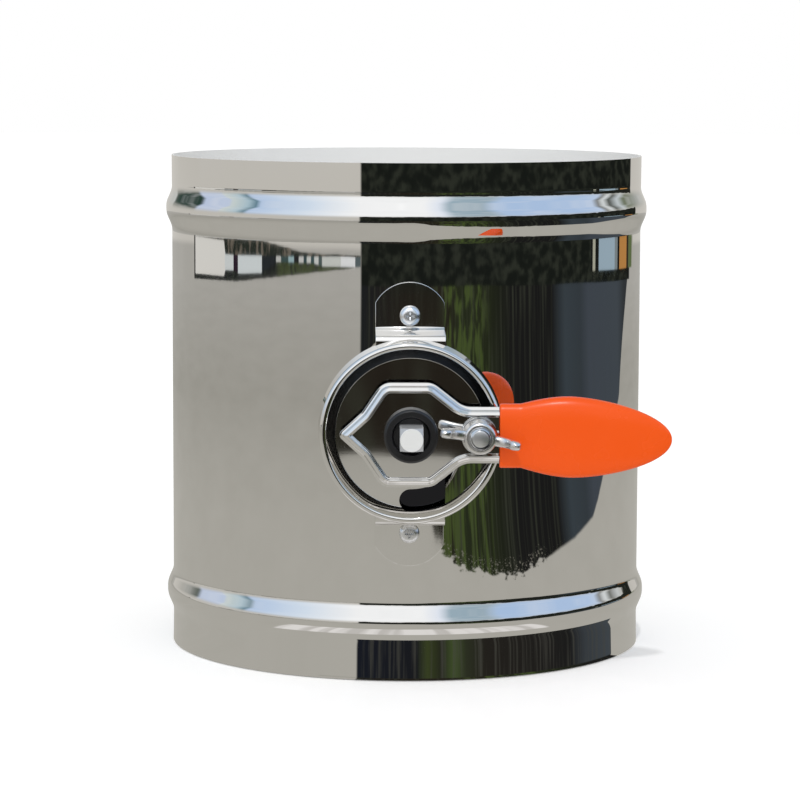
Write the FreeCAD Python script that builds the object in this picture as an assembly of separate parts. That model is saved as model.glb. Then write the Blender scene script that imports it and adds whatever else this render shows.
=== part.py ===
import FreeCAD, Part
import math
import os

# A volume control damper for a 200 mm round duct. A beaded steel barrel carries a butterfly blade on a
# square shaft. Outside, a strap bracket holds a dished dial, and a pressed lever with a moulded grip turns
# the shaft over it. A bolt through the dial's arc slot and a wing nut lock the lever.
# The barrel stands on its lower rim with its axis on Z. The shaft lies along Y, with the lever at -Y.
# At rest the handle points along +X and the blade is closed. All sizes are in millimetres.

# Barrel
duct_radius = 100.0
duct_wall = 0.8
body_length = 208.0
bead_from_rim = 22.3
bead_height = 2.5
bead_width = 16.0
bead_crest = 4.4
bead_rounding = 8.0

# Clearances
seat_gap = 0.1
loose_gap = 0.3
running_gap = 0.05
square_gap = 0.1
thread_gap = 0.1
hole_play = 0.25
blade_edge_gap = 1.4

# Shaft, its plastic bushes in the barrel's wall, and the parts that hold its far end
shaft_side = 9.0
shaft_projection = 11.7
shaft_face = 7.4
shaft_far_projection = 5.0
bush_wall = 1.5
bush_lip = 3.0
bush_flange = 2.5
bush_nose = 2.0
washer_gauge = 1.0
washer_rim = 2.5
clip_gauge = 1.0
clip_rim = 2.5

# Blade and the saddles that clamp it to the shaft
blade_gauge = 1.5
swage_radius = 68.0
swage_height = 2.4
swage_width = 14.0
swage_crest = 5.0
swage_rounding = 3.0
notch_clearance = 1.0
saddle_gauge = 2.0
saddle_length = 22.0
saddle_flange = 15.0
saddle_place = 42.0
saddle_inner_bend = 0.2
saddle_flange_bend = 0.6
blade_bolt_diameter = 6.0
blade_bolt_head_radius = 5.6
blade_bolt_head = 2.6
blade_nut_flats = 10.0
blade_nut_height = 5.0
blade_bolt_end = 1.6
head_rounding = 0.8  # the share of a round head's height that its edge takes

# Dished dial with its arc slot and index ring
dial_gauge = 1.2
dial_crest_radius = 34.35
dial_crest_width = 2.3
dial_slope_run = 3.35
dial_skirt_flare = 1.95
dial_rise = 3.2
dial_floor_bend = 2.6
dial_crest_bend = 0.35
dial_skirt_lap = 1.5
dial_notch_play = 0.2
slot_edge = 0.1
slot_play = 0.4
lever_swing = 90.0
mark_radius = 1.65
mark_width = 0.5
mark_depth = 0.25
mark_angle = 194.7

# Strap bracket and its screws
strap_width = 27.5
strap_gauge = 1.5
strap_standoff = 21.9
lug_overhang = 13.4
lug_end_ease = 1.75
leg_splay = 0.8
leg_margin = 1.3
leg_inner_bend = 1.0
platform_bend = 2.6
screw_diameter = 4.2
screw_length = 9.5
screw_point = 2.4
screw_head_radius = 4.1
screw_head = 2.8
screw_head_margin = 0.1
screw_recess = 1.5
screw_recess_length = 4.9
screw_recess_width = 0.9

# Hub sleeve that joins the dial to the bracket, and the bush that turns in it
sleeve_bush_wall = 2.0
sleeve_neck = 0.8
sleeve_shoulder = 1.1
sleeve_flare = 1.9
sleeve_flare_gauge = 0.7
spacer_lip = 0.3

# Pressed lever
lever_gauge = 1.3
lever_rise = 3.0
lever_rim = 3.7
lever_slope = 0.9
pointer_reach = 28.4
pointer_root_x = -19.0
pointer_root_y = 8.9
pan_left = -11.2
pan_right = 8.4
pan_half = 20.4
neck_start = 20.4
neck_half = 11.0
pointer_rounding = 1.4
pointer_root_rounding = 5.0
pan_left_rounding = 4.0
pan_right_rounding = 5.0
neck_rounding = 9.0

# Moulded grip
grip_start = 34.3
grip_neck = 8.2
grip_belly = 62.0
grip_belly_half = 15.8
grip_belly_swell = 1.2
grip_end = 101.3
grip_droop = 1.5
grip_wall = 1.7
grip_side_wall = 1.4
grip_neck_fullness = 0.5
grip_nose_fullness = 0.62
grip_edge_fullness = 3.2
grip_section_points = 24
grip_rise_stations = (0.25, 0.6, 1.0)
grip_nose_stations = (0.3, 0.55, 0.75, 0.88, 0.95, 0.99)
dial_grip_gap = 0.7
tang_gap = 0.1
tang_wall = 3.0
tang_overlap = 2.5
tang_nose = 7.4
tang_stations = 9

# Hub collar on the shaft, in front of the lever
collar_height = 5.0
collar_ring = 3.0
collar_cup_ease = 0.3
collar_cup_slope = 0.7
collar_cup = 3.0
collar_bevel = 0.8

# Clamp bolt, washers and wing nut
bolt_diameter = 8.0
bolt_head_length = 17.0
bolt_head = 4.6
bolt_head_gap = 0.35
bolt_end = 2.2
bolt_chamfer = 0.9
clamp_washer_gauge = 1.4
spring_washer_gauge = 1.9
spring_washer_split = 1.4
wing_boss_taper = 1.0
wing_boss = 7.5
wing_span = 16.2
wing_height = 12.2
wing_tip = 4.2
wing_foot = 1.5
wing_thickness = 3.4
wing_turned = -10.0

# Radii and widths that follow from the sizes above
duct_bore = duct_radius - duct_wall
shaft_corner = shaft_side / math.sqrt(2)
square_hole = shaft_side + 2 * square_gap
square_hole_corner = square_hole / math.sqrt(2)
bush_radius = square_hole_corner + bush_wall
bush_flange_radius = bush_radius + bush_lip
washer_radius = bush_radius + washer_rim
clip_radius = shaft_corner + clip_rim
blade_radius = duct_bore - blade_edge_gap
dial_rim_radius = dial_crest_radius + dial_skirt_flare
dial_floor_radius = dial_crest_radius - dial_slope_run
slot_width = bolt_diameter + 2 * slot_play
clamp_place = dial_floor_radius - slot_edge - slot_width / 2
skirt_inside = dial_crest_radius + dial_crest_width / 2 - dial_gauge
bolt_head_outer = math.sqrt(skirt_inside**2 - (bolt_head_length / 2) ** 2) - bolt_head_gap
bolt_head_width = 2 * (bolt_head_outer - clamp_place)
leg_top = dial_rim_radius + leg_margin
leg_foot = leg_top + leg_splay
screw_place = leg_foot + leg_inner_bend + screw_head_margin + screw_head_radius
strap_reach = screw_place + lug_overhang
lug_end_radius = strap_width / 2 + lug_end_ease
sleeve_bore_radius = square_hole_corner + sleeve_bush_wall
sleeve_neck_radius = sleeve_bore_radius + sleeve_neck
sleeve_flare_radius = sleeve_neck_radius + sleeve_flare
grip_neck_half = neck_half + tang_gap + grip_side_wall
grip_neck_end = grip_start + grip_neck
collar_cup_floor_radius = square_hole_corner + collar_cup_ease
collar_cup_radius = collar_cup_floor_radius + collar_cup_slope
collar_radius = collar_cup_radius + collar_ring
clamp_washer_radius = neck_half - lever_rim - loose_gap
spring_washer_radius = clamp_washer_radius - loose_gap

# Levels along the shaft, counted outwards from the duct's axis
axis_height = body_length / 2
lug_back = duct_radius + seat_gap
lug_front = lug_back + strap_gauge
platform_front = duct_radius + strap_standoff
platform_back = platform_front - strap_gauge
bolt_head_back = platform_front + bolt_head_gap
dial_floor_back = bolt_head_back + bolt_head + bolt_head_gap
dial_floor_front = dial_floor_back + dial_gauge
dial_front = dial_floor_front + dial_rise
skirt_back = platform_front - dial_skirt_lap
sleeve_back = platform_back - sleeve_flare_gauge
sleeve_front = dial_floor_front + sleeve_flare_gauge
lever_back = dial_front + dial_grip_gap + grip_wall
lever_floor = lever_back + lever_gauge
lever_front = lever_floor + lever_rise
collar_front = lever_floor + collar_height
shaft_front = collar_front + shaft_projection
spring_washer_back = lever_floor + clamp_washer_gauge + loose_gap
wing_back = spring_washer_back + spring_washer_gauge + loose_gap
wing_boss_front = wing_back + wing_boss
bolt_front = wing_boss_front + bolt_end
bush_end = duct_radius + bush_nose
washer_end = bush_end + washer_gauge
clip_end = washer_end + clip_gauge

# Levels across the closed blade, counted upwards from the shaft's axis
blade_under = shaft_side / 2 + seat_gap
blade_top = blade_under + blade_gauge
saddle_top = blade_under - seat_gap
saddle_under = saddle_top - saddle_gauge
saddle_half = shaft_side / 2 + square_gap + saddle_gauge
saddle_bolt_place = saddle_half + saddle_flange / 2
flange_front = math.sqrt(duct_bore**2 - bush_flange_radius**2) - loose_gap
flange_back = flange_front - bush_flange

V = FreeCAD.Vector


def arc_corner(before, corner, after, radius):
    """The two tangent points and the arc that round a corner of a path with the given radius."""
    back = (before - corner).normalize()
    ahead = (after - corner).normalize()
    half = back.getAngle(ahead) / 2
    if radius <= 0 or abs(half - math.pi / 2) < 1e-6:
        return corner, corner, None
    run = radius / math.tan(half)
    start = corner + back * run
    end = corner + ahead * run
    bisector = (back + ahead).normalize()
    middle = corner + bisector * (radius / math.sin(half) - radius)
    return start, end, Part.Arc(start, middle, end).toShape()


def path_edges(points, radii, closed=False):
    """The edges of a path through points, each inner corner rounded with its own radius."""
    count = len(points)
    corners = []
    for index in range(count):
        if closed or 0 < index < count - 1:
            before = points[index - 1]
            after = points[(index + 1) % count]
            corners.append(arc_corner(before, points[index], after, radii[index]))
        else:
            corners.append((points[index], points[index], None))
    edges = []
    last = count if closed else count - 1
    for index in range(last):
        following = corners[(index + 1) % count]
        leaving = corners[index][1]
        if (following[0] - leaving).Length > 1e-6:
            edges.append(Part.LineSegment(leaving, following[0]).toShape())
        if following[2] is not None and (closed or index + 1 < count - 1):
            edges.append(following[2])
    return edges


def offset_path(points, radii, gauge, normal):
    """The same path moved sideways by a sheet's gauge, with the radii of its bends."""
    sides = []
    for start, end in zip(points, points[1:]):
        sides.append(normal.cross((end - start).normalize()))
    moved = [points[0] + sides[0] * gauge]
    bends = [0.0]
    for index in range(1, len(points) - 1):
        mitre = (sides[index - 1] + sides[index]).normalize()
        stretch = gauge / mitre.dot(sides[index])
        moved.append(points[index] + mitre * stretch)
        turn = normal.dot(sides[index - 1].cross(sides[index]))
        bends.append(radii[index] - gauge if turn > 0 else radii[index] + gauge)
    moved.append(points[-1] + sides[-1] * gauge)
    bends.append(0.0)
    return moved, bends


def sheet_face(points, radii, gauge, normal):
    """The section of a bent sheet: a path on its one face, its gauge to the left about the normal."""
    inner, bends = offset_path(points, radii, gauge, normal)
    edges = path_edges(points, radii)
    edges.append(Part.LineSegment(points[-1], inner[-1]).toShape())
    edges += path_edges(inner[::-1], bends[::-1])
    edges.append(Part.LineSegment(inner[0], points[0]).toShape())
    return Part.Face(Part.Wire(Part.__sortEdges__(edges)))


def turned(points, radii=None):
    """A body of revolution about Z from a closed profile of (radius, height) pairs."""
    corners = [V(r, 0, z) for r, z in points]
    wire = Part.Wire(path_edges(corners, radii or [0.0] * len(corners), closed=True))
    return Part.Face(wire).revolve(V(0, 0, 0), V(0, 0, 1), 360)


def disc(radius, base, height, x=0.0, y=0.0):
    """A round bar along Z."""
    return Part.makeCylinder(radius, height, V(x, y, base))


def square_bar(side, base, height):
    """A square bar along Z, centred on the axis."""
    return Part.makeBox(side, side, height, V(-side / 2, -side / 2, base))


def hexagon(flats, base, height, x=0.0, y=0.0):
    """A hexagonal bar along Z, given its width across flats."""
    reach = flats / math.sqrt(3)
    corners = []
    for step in range(6):
        angle = math.tau * step / 6
        corners.append(V(x + reach * math.cos(angle), y + reach * math.sin(angle), base))
    return Part.Face(Part.makePolygon(corners + corners[:1])).extrude(V(0, 0, height))


def on_shaft(shape):
    """Place a piece modelled along Z on the shaft: its Z turns to -Y and its Y to the duct's +Z."""
    shape.rotate(V(0, 0, 0), V(1, 0, 0), 90)
    shape.translate(V(0, 0, axis_height))
    return shape


def prism(edges, height):
    """A solid raised along Z from a closed flat outline."""
    return Part.Face(Part.Wire(edges)).extrude(V(0, 0, height))


def barrel():
    """The beaded tube: one sheet section turned about the duct's axis, with the two shaft holes."""
    points = [V(duct_radius, 0, 0)]
    radii = [0.0]
    for middle in (bead_from_rim, body_length - bead_from_rim):
        for rise, side in ((0, -bead_width), (1, -bead_crest), (1, bead_crest), (0, bead_width)):
            points.append(V(duct_radius + rise * bead_height, 0, middle + side / 2))
            radii.append(bead_rounding)
    points.append(V(duct_radius, 0, body_length))
    radii.append(0.0)
    shell = sheet_face(points, radii, duct_wall, V(0, -1, 0)).revolve(V(0, 0, 0), V(0, 0, 1), 360)
    holes = [disc(bush_radius + running_gap, -duct_radius * 2, duct_radius * 4)]
    for side in (-1, 1):
        holes.append(disc(screw_diameter / 2 + seat_gap, 0, duct_radius * 2, 0, side * screw_place))
    return shell.cut([on_shaft(hole) for hole in holes])


def bracket():
    """The bridge strap: lugs curved to the barrel, splayed legs and a flat platform for the dial."""
    points = [
        V(0, strap_reach, lug_front),
        V(0, leg_foot, lug_front),
        V(0, leg_top, platform_front),
        V(0, -leg_top, platform_front),
        V(0, -leg_foot, lug_front),
        V(0, -strap_reach, lug_front),
    ]
    radii = [0, leg_inner_bend, platform_bend, platform_bend, leg_inner_bend, 0]
    face = sheet_face(points, radii, strap_gauge, V(1, 0, 0))
    flat = face.extrude(V(strap_width, 0, 0))
    flat.translate(V(-strap_width / 2, 0, 0))
    # The lugs sink onto the round barrel: they are cut away and laid again as curved tongues.
    drop = lug_front - math.sqrt(lug_front**2 - (strap_width / 2) ** 2) + strap_gauge
    keep_from = lug_front + leg_inner_bend
    legs = flat.cut(Part.makeBox(strap_width * 2, strap_reach * 4, keep_from + strap_reach,
                                 V(-strap_width, -strap_reach * 2, -strap_reach)))
    strap = legs
    for side in (-1, 1):
        strap = strap.fuse(lug(side, keep_from - lug_front, drop))
    strap = strap.removeSplitter()
    holes = [disc(sleeve_neck_radius + seat_gap, platform_back - strap_gauge, strap_gauge * 3)]
    for side in (-1, 1):
        holes.append(disc(screw_diameter / 2 + hole_play, duct_bore, strap_standoff, 0, side * screw_place))
    return on_shaft(strap.cut(holes))


def lug(side, heel, drop):
    """One lug: a tongue with an arched end, bent round the barrel, and the heel of the leg above it."""
    sagitta = lug_end_radius - math.sqrt(lug_end_radius**2 - (strap_width / 2) ** 2)
    corner = strap_reach - sagitta
    left = V(-strap_width / 2, corner * side, 0)
    right = V(strap_width / 2, corner * side, 0)
    heel_inner = leg_foot - strap_gauge
    outline = [
        Part.Arc(left, V(0, strap_reach * side, 0), right).toShape(),
        Part.LineSegment(right, V(strap_width / 2, heel_inner * side, 0)).toShape(),
        Part.LineSegment(V(strap_width / 2, heel_inner * side, 0),
                         V(-strap_width / 2, heel_inner * side, 0)).toShape(),
        Part.LineSegment(V(-strap_width / 2, heel_inner * side, 0), left).toShape(),
    ]
    blank = prism(outline, lug_front + heel)
    length = strap_reach * 4
    outer = Part.makeCylinder(lug_front, length, V(0, -length / 2, 0), V(0, 1, 0))
    inner = Part.makeCylinder(lug_back, length, V(0, -length / 2, 0), V(0, 1, 0))
    heel_box = Part.makeBox(strap_width, strap_gauge, heel + drop + strap_gauge,
                            V(-strap_width / 2, heel_inner if side > 0 else -leg_foot, lug_front - drop))
    tongue = blank.common(outer).cut(inner)
    return tongue.fuse(heel_box.cut(inner))


def screw(side):
    """A pan-head tapping screw through a lug into the barrel, with a cross recess."""
    seat = lug_front
    tip = seat - screw_length
    shank = screw_diameter / 2
    body = turned([
        (0, tip),
        (shank, tip + screw_point),
        (shank, seat),
        (screw_head_radius, seat),
        (screw_head_radius, seat + screw_head),
        (0, seat + screw_head),
    ], [0, 0, 0, 0, screw_head * head_rounding, 0])
    arms = ((screw_recess_length, screw_recess_width), (screw_recess_width, screw_recess_length))
    for length, width in arms:
        body = body.cut(Part.makeBox(length, width, screw_head,
                                     V(-length / 2, -width / 2, seat + screw_head - screw_recess)))
    body.translate(V(0, side * screw_place, 0))
    return on_shaft(body)


def arc_slot(radius, width, start, end, base, height):
    """A slot bent round the axis: a ring sector with round ends, from one angle to the other."""
    slot = Part.makeCylinder(radius + width / 2, height, V(0, 0, base), V(0, 0, 1), end - start)
    slot = slot.cut(Part.makeCylinder(radius - width / 2, height, V(0, 0, base)))
    slot.rotate(V(0, 0, 0), V(0, 0, 1), start)
    for angle in (start, end):
        x = radius * math.cos(math.radians(angle))
        y = radius * math.sin(math.radians(angle))
        slot = slot.fuse(disc(width / 2, base, height, x, y))
    return slot


def dial():
    """The dished dial: a pressed pan with a rolled rim, arc slot, index ring and notches over the strap."""
    points = [
        V(sleeve_neck_radius + seat_gap, 0, dial_floor_front),
        V(dial_floor_radius, 0, dial_floor_front),
        V(dial_crest_radius - dial_crest_width / 2, 0, dial_front),
        V(dial_crest_radius + dial_crest_width / 2, 0, dial_front),
        V(dial_rim_radius, 0, skirt_back),
    ]
    crest_bend = dial_crest_bend + dial_gauge
    radii = [0, dial_floor_bend, crest_bend, crest_bend, 0]
    pan = sheet_face(points, radii, dial_gauge, V(0, 1, 0)).revolve(V(0, 0, 0), V(0, 0, 1), 360)
    cuts = [arc_slot(clamp_place, slot_width, -lever_swing, 0, dial_floor_back - dial_gauge, dial_gauge * 3)]
    notch = strap_width + 2 * dial_notch_play
    cuts.append(Part.makeBox(notch, dial_rim_radius * 4, platform_front - skirt_back + dial_gauge,
                             V(-notch / 2, -dial_rim_radius * 2, skirt_back - dial_gauge)))
    ring_base = dial_floor_front - mark_depth
    ring = disc(mark_radius, ring_base, mark_depth * 2).cut(
        disc(mark_radius - mark_width, ring_base, mark_depth * 2))
    ring.translate(V(clamp_place * math.cos(math.radians(mark_angle)),
                     clamp_place * math.sin(math.radians(mark_angle)), 0))
    cuts.append(ring)
    return on_shaft(pan.cut(cuts))


def hub_sleeve():
    """A flared steel sleeve that spaces the dial from the bracket and clamps the two together."""
    shoulder = sleeve_neck_radius + sleeve_shoulder
    return on_shaft(turned([
        (sleeve_bore_radius, sleeve_back),
        (sleeve_flare_radius, sleeve_back),
        (sleeve_flare_radius, platform_back),
        (sleeve_neck_radius, platform_back),
        (sleeve_neck_radius, platform_front),
        (shoulder, platform_front),
        (shoulder, dial_floor_back),
        (sleeve_neck_radius, dial_floor_back),
        (sleeve_neck_radius, dial_floor_front),
        (sleeve_flare_radius, dial_floor_front),
        (sleeve_flare_radius, sleeve_front),
        (sleeve_bore_radius, sleeve_front),
    ]))


def dial_bush():
    """The plastic bush that turns in the hub sleeve, with the flange that spaces the lever."""
    radius = sleeve_bore_radius - running_gap
    body = turned([
        (0, sleeve_back),
        (radius, sleeve_back),
        (radius, sleeve_front + loose_gap),
        (sleeve_flare_radius + spacer_lip, sleeve_front + loose_gap),
        (sleeve_flare_radius + spacer_lip, lever_back),
        (0, lever_back),
    ])
    return on_shaft(body.cut(square_bar(square_hole, duct_radius, strap_standoff * 3)))


def shaft():
    """The square shaft: its front end is turned to a cone, its far end stands out past the clip."""
    far_end = -(clip_end + shaft_far_projection)
    bar = square_bar(shaft_side, far_end, shaft_front - far_end)
    tip = shaft_face / 2
    envelope = turned([
        (0, far_end),
        (shaft_corner, far_end),
        (shaft_corner, shaft_front - (shaft_corner - tip)),
        (tip, shaft_front),
        (0, shaft_front),
    ])
    return on_shaft(bar.common(envelope))


def wall_bush(side):
    """A plastic bush in the barrel's wall: square bore, round outside, flange inside the duct."""
    body = turned([
        (0, flange_back),
        (bush_flange_radius, flange_back),
        (bush_flange_radius, flange_front),
        (bush_radius, flange_front),
        (bush_radius, bush_end),
        (0, bush_end),
    ])
    body = body.cut(square_bar(square_hole, 0, duct_radius * 2))
    if side > 0:
        body.rotate(V(0, 0, 0), V(0, 1, 0), 180)
    return on_shaft(body)


def far_washer():
    """The plain washer between the far bush and its clip."""
    body = disc(washer_radius, bush_end, washer_gauge)
    body = body.cut(disc(square_hole_corner, duct_radius, strap_standoff))
    body.rotate(V(0, 0, 0), V(0, 1, 0), 180)
    return on_shaft(body)


def shaft_clip():
    """The push-on spring clip that holds the shaft's far end: a ring with reliefs at the corners."""
    body = disc(clip_radius, washer_end, clip_gauge)
    body = body.cut(square_bar(shaft_side + 2 * seat_gap, washer_end - clip_gauge, clip_gauge * 3))
    for corner in range(4):
        angle = math.tau * (corner / 4 + 1 / 8)
        x = shaft_corner * math.cos(angle)
        y = shaft_corner * math.sin(angle)
        body = body.cut(disc(clip_gauge, washer_end - clip_gauge, clip_gauge * 3, x, y))
    body.rotate(V(0, 0, 0), V(0, 1, 0), 180)
    return on_shaft(body)


def blade():
    """The butterfly disc: one sheet section with a ring swage, turned, then notched at the bushes."""
    inner = swage_radius - swage_width / 2
    outer = swage_radius + swage_width / 2
    raised = blade_top + swage_height
    points = [
        V(0, 0, blade_top),
        V(inner, 0, blade_top),
        V(swage_radius - swage_crest / 2, 0, raised),
        V(swage_radius + swage_crest / 2, 0, raised),
        V(outer, 0, blade_top),
        V(blade_radius, 0, blade_top),
    ]
    radii = [0, swage_rounding, swage_rounding, swage_rounding, swage_rounding, 0]
    plate = sheet_face(points, radii, blade_gauge, V(0, 1, 0)).revolve(V(0, 0, 0), V(0, 0, 1), 360)
    notch = 2 * (bush_flange_radius + notch_clearance)
    depth = blade_radius
    cuts = []
    near = flange_back - notch_clearance
    for start in (near, -near - depth):
        cuts.append(Part.makeBox(notch, depth, blade_top * 4, V(-notch / 2, start, -blade_top)))
    for x, y in saddle_bolts():
        cuts.append(disc(blade_bolt_diameter / 2 + hole_play, 0, blade_top * 2, x, y))
    plate = plate.cut(cuts)
    plate.translate(V(0, 0, axis_height))
    return plate


def saddle_bolts():
    """The places of the four bolts that hold the saddles, as (x, y) on the blade."""
    return [(x * saddle_bolt_place, y * saddle_place) for y in (-1, 1) for x in (-1, 1)]


def blade_saddle(side):
    """A hat-shaped strap under the shaft, bolted to the blade on both sides of it."""
    reach = saddle_half + saddle_flange
    points = [
        V(-reach, 0, saddle_under),
        V(-saddle_half, 0, saddle_under),
        V(-saddle_half, 0, -saddle_half),
        V(saddle_half, 0, -saddle_half),
        V(saddle_half, 0, saddle_under),
        V(reach, 0, saddle_under),
    ]
    outer_bend = saddle_inner_bend + saddle_gauge
    radii = [0, saddle_flange_bend, outer_bend, outer_bend, saddle_flange_bend, 0]
    strap = sheet_face(points, radii, saddle_gauge, V(0, -1, 0)).extrude(V(0, saddle_length, 0))
    strap.translate(V(0, side * saddle_place - saddle_length / 2, 0))
    holes = []
    for x, y in saddle_bolts():
        if y * side > 0:
            holes.append(disc(blade_bolt_diameter / 2 + hole_play, -shaft_side, shaft_side * 2, x, y))
    strap = strap.cut(holes)
    strap.translate(V(0, 0, axis_height))
    return strap


def blade_bolts():
    """Four button-head bolts, heads on the blade's upper face."""
    end = saddle_under - blade_nut_height - blade_bolt_end
    bolts = []
    for x, y in saddle_bolts():
        body = turned([
            (0, end),
            (blade_bolt_diameter / 2, end),
            (blade_bolt_diameter / 2, blade_top),
            (blade_bolt_head_radius, blade_top),
            (blade_bolt_head_radius, blade_top + blade_bolt_head),
            (0, blade_top + blade_bolt_head),
        ], [0, 0, 0, 0, blade_bolt_head * head_rounding, 0])
        body.translate(V(x, y, axis_height))
        bolts.append(body)
    return Part.makeCompound(bolts)


def blade_nuts():
    """Four hexagon nuts under the saddles."""
    nuts = []
    for x, y in saddle_bolts():
        body = hexagon(blade_nut_flats, saddle_under - blade_nut_height, blade_nut_height, x, y)
        body = body.cut(disc(blade_bolt_diameter / 2 + seat_gap, saddle_under - blade_nut_height * 2,
                             blade_nut_height * 3, x, y))
        body.translate(V(0, 0, axis_height))
        nuts.append(body)
    return Part.makeCompound(nuts)


def pan_outline(inset, level):
    """The lever's outline from its pointer to beyond the neck, moved inwards by an inset."""
    end = grip_neck_end + lever_rim
    upper = [
        (pointer_root_x, pointer_root_y, pointer_root_rounding),
        (pan_left, pan_half, pan_left_rounding),
        (pan_right, pan_half, pan_right_rounding),
        (neck_start, neck_half, neck_rounding),
        (end, neck_half, 0.0),
    ]
    corners = [(-pointer_reach, 0.0, pointer_rounding)] + upper
    corners += [(x, -y, rounding) for x, y, rounding in reversed(upper)]
    points = [V(x, y, level) for x, y, rounding in corners]
    radii = [rounding for x, y, rounding in corners]
    wire = Part.Wire(path_edges(points, radii, closed=True))
    if inset > 0:
        wire = wire.makeOffset2D(-inset)
    return wire


def leaf(x, neck, belly, fullness):
    """A half size of the grip at x: a sine rise from the neck to the belly, then an ellipse-like nose."""
    if x <= grip_neck_end:
        return neck
    if x <= grip_belly:
        rise = math.sin(math.pi / 2 * (x - grip_neck_end) / (grip_belly - grip_neck_end))
        return neck + (belly - neck) * rise
    along = (x - grip_belly) / (grip_end - grip_belly)
    return belly * (1 - along**2) ** fullness


def droop(x):
    """How far the grip's middle line lies under the lever's axis at x: nothing up to the neck's end."""
    return grip_droop * max(0.0, x - grip_neck_end) / (grip_end - grip_neck_end)


def tang_outline(inset, level):
    """The flat tang inside the grip: the grip's leaf shape, moved inwards."""
    start = grip_neck_end - tang_overlap
    end = grip_end - tang_nose
    stations = [start + (end - start) * step / (tang_stations - 1) for step in range(tang_stations)]
    halves = [leaf(x, neck_half, grip_belly_half - tang_wall, grip_nose_fullness) for x in stations]
    upper = [V(x, half - inset - droop(x), level) for x, half in zip(stations, halves)]
    lower = [V(x, inset - half - droop(x), level) for x, half in zip(stations, halves)]
    edges = []
    for side in (upper, lower):
        curve = Part.BSplineCurve()
        curve.interpolate(side)
        edges.append(curve.toShape())
    edges.append(Part.LineSegment(upper[0], lower[0]).toShape())
    edges.append(Part.LineSegment(upper[-1], lower[-1]).toShape())
    return Part.Wire(Part.__sortEdges__(edges))


def lever():
    """The pressed lever: a pan with a raised rim and pointer, a channelled neck and a tang in the grip."""
    skin = Part.makeLoft([pan_outline(0, lever_back), pan_outline(lever_slope, lever_front)], True, True)
    pocket = Part.makeLoft([pan_outline(lever_rim, lever_floor),
                            pan_outline(lever_rim - lever_slope / 2, lever_front)], True, True)
    channel_top = lever_front - lever_gauge
    groove = Part.makeLoft([pan_outline(lever_gauge, lever_back),
                            pan_outline(lever_gauge + lever_slope, channel_top)], True, True)
    web = Part.Face(pan_outline(lever_rim - lever_gauge, lever_back))
    body = skin.cut(pocket).cut(groove.cut(web.extrude(V(0, 0, channel_top - lever_back))))
    body = body.cut(Part.makeBox(grip_end, neck_half * 4, duct_radius,
                                 V(grip_neck_end, -neck_half * 2, lever_back - lever_gauge)))
    tang = Part.Face(tang_outline(0, lever_back)).extrude(V(0, 0, lever_gauge))
    body = body.fuse(tang).removeSplitter()
    centre = square_bar(square_hole, lever_back - lever_gauge, lever_gauge * 3)
    bolt_hole = disc(bolt_diameter / 2 + seat_gap, lever_back - lever_gauge, lever_gauge * 3, clamp_place, 0)
    return on_shaft(body.cut([centre, bolt_hole]))


def grip_section(x, neck_thick, middle):
    """One closed section of the grip at x: a rounded oblong, the curve |y/a|^n + |w/b|^n = 1."""
    half = leaf(x, grip_neck_half, grip_belly_half, grip_nose_fullness)
    thick = leaf(x, neck_thick, neck_thick + grip_belly_swell, grip_neck_fullness)
    points = []
    for step in range(grip_section_points):
        angle = math.tau * step / grip_section_points
        across = math.copysign(abs(math.cos(angle)) ** (2 / grip_edge_fullness), math.cos(angle))
        through = math.copysign(abs(math.sin(angle)) ** (2 / grip_edge_fullness), math.sin(angle))
        points.append(V(x, half * across - droop(x), middle + thick * through))
    curve = Part.BSplineCurve()
    curve.interpolate(Points=points, PeriodicFlag=True)
    return Part.Wire(curve.toShape())


def grip():
    """The moulded grip: sections lofted from the neck to the nose, hollow where the lever goes in."""
    middle = (lever_back + lever_front) / 2
    neck_thick = (lever_front - lever_back) / 2 + grip_wall
    stations = [grip_start, grip_neck_end]
    stations += [grip_neck_end + (grip_belly - grip_neck_end) * part for part in grip_rise_stations]
    stations += [grip_belly + (grip_end - grip_belly) * part for part in grip_nose_stations]
    body = Part.makeLoft([grip_section(x, neck_thick, middle) for x in stations], True, False)
    mouth = Part.makeBox(grip_neck_end + tang_gap - grip_start + grip_wall, 2 * (neck_half + tang_gap),
                         lever_front - lever_back + 2 * tang_gap,
                         V(grip_start - grip_wall, -neck_half - tang_gap, lever_back - tang_gap))
    slot_height = V(0, 0, lever_gauge + 2 * tang_gap)
    slot = Part.Face(tang_outline(-tang_gap, lever_back - tang_gap)).extrude(slot_height)
    tang_end = grip_end - tang_nose
    tang_half = leaf(tang_end, neck_half, grip_belly_half - tang_wall, grip_nose_fullness) + tang_gap
    end_room = Part.makeBox(tang_gap * 2, tang_half * 2, slot_height.z,
                            V(tang_end - tang_gap, -tang_half - droop(tang_end), lever_back - tang_gap))
    return on_shaft(body.cut([mouth, slot, end_room]))


def hub_collar():
    """The black plastic collar on the shaft: a bevelled ring with a cup that frames the shaft's end."""
    body = turned([
        (0, lever_floor),
        (collar_radius, lever_floor),
        (collar_radius, collar_front - collar_bevel),
        (collar_radius - collar_bevel, collar_front),
        (collar_cup_radius, collar_front),
        (collar_cup_floor_radius, collar_front - collar_cup),
        (0, collar_front - collar_cup),
    ])
    return on_shaft(body.cut(square_bar(square_hole, lever_floor - collar_height, collar_height * 3)))


def clamp_bolt():
    """The T-head bolt: its oblong head slides in the pan behind the dial, held straight by the skirt."""
    radius = bolt_diameter / 2
    head = Part.makeBox(bolt_head_width, bolt_head_length, bolt_head,
                        V(-bolt_head_width / 2, -bolt_head_length / 2, bolt_head_back))
    shank = turned([
        (0, bolt_head_back),
        (radius, bolt_head_back),
        (radius, bolt_front - bolt_chamfer),
        (radius - bolt_chamfer, bolt_front),
        (0, bolt_front),
    ])
    body = head.fuse(shank)
    body.translate(V(clamp_place, 0, 0))
    return on_shaft(body)


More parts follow.
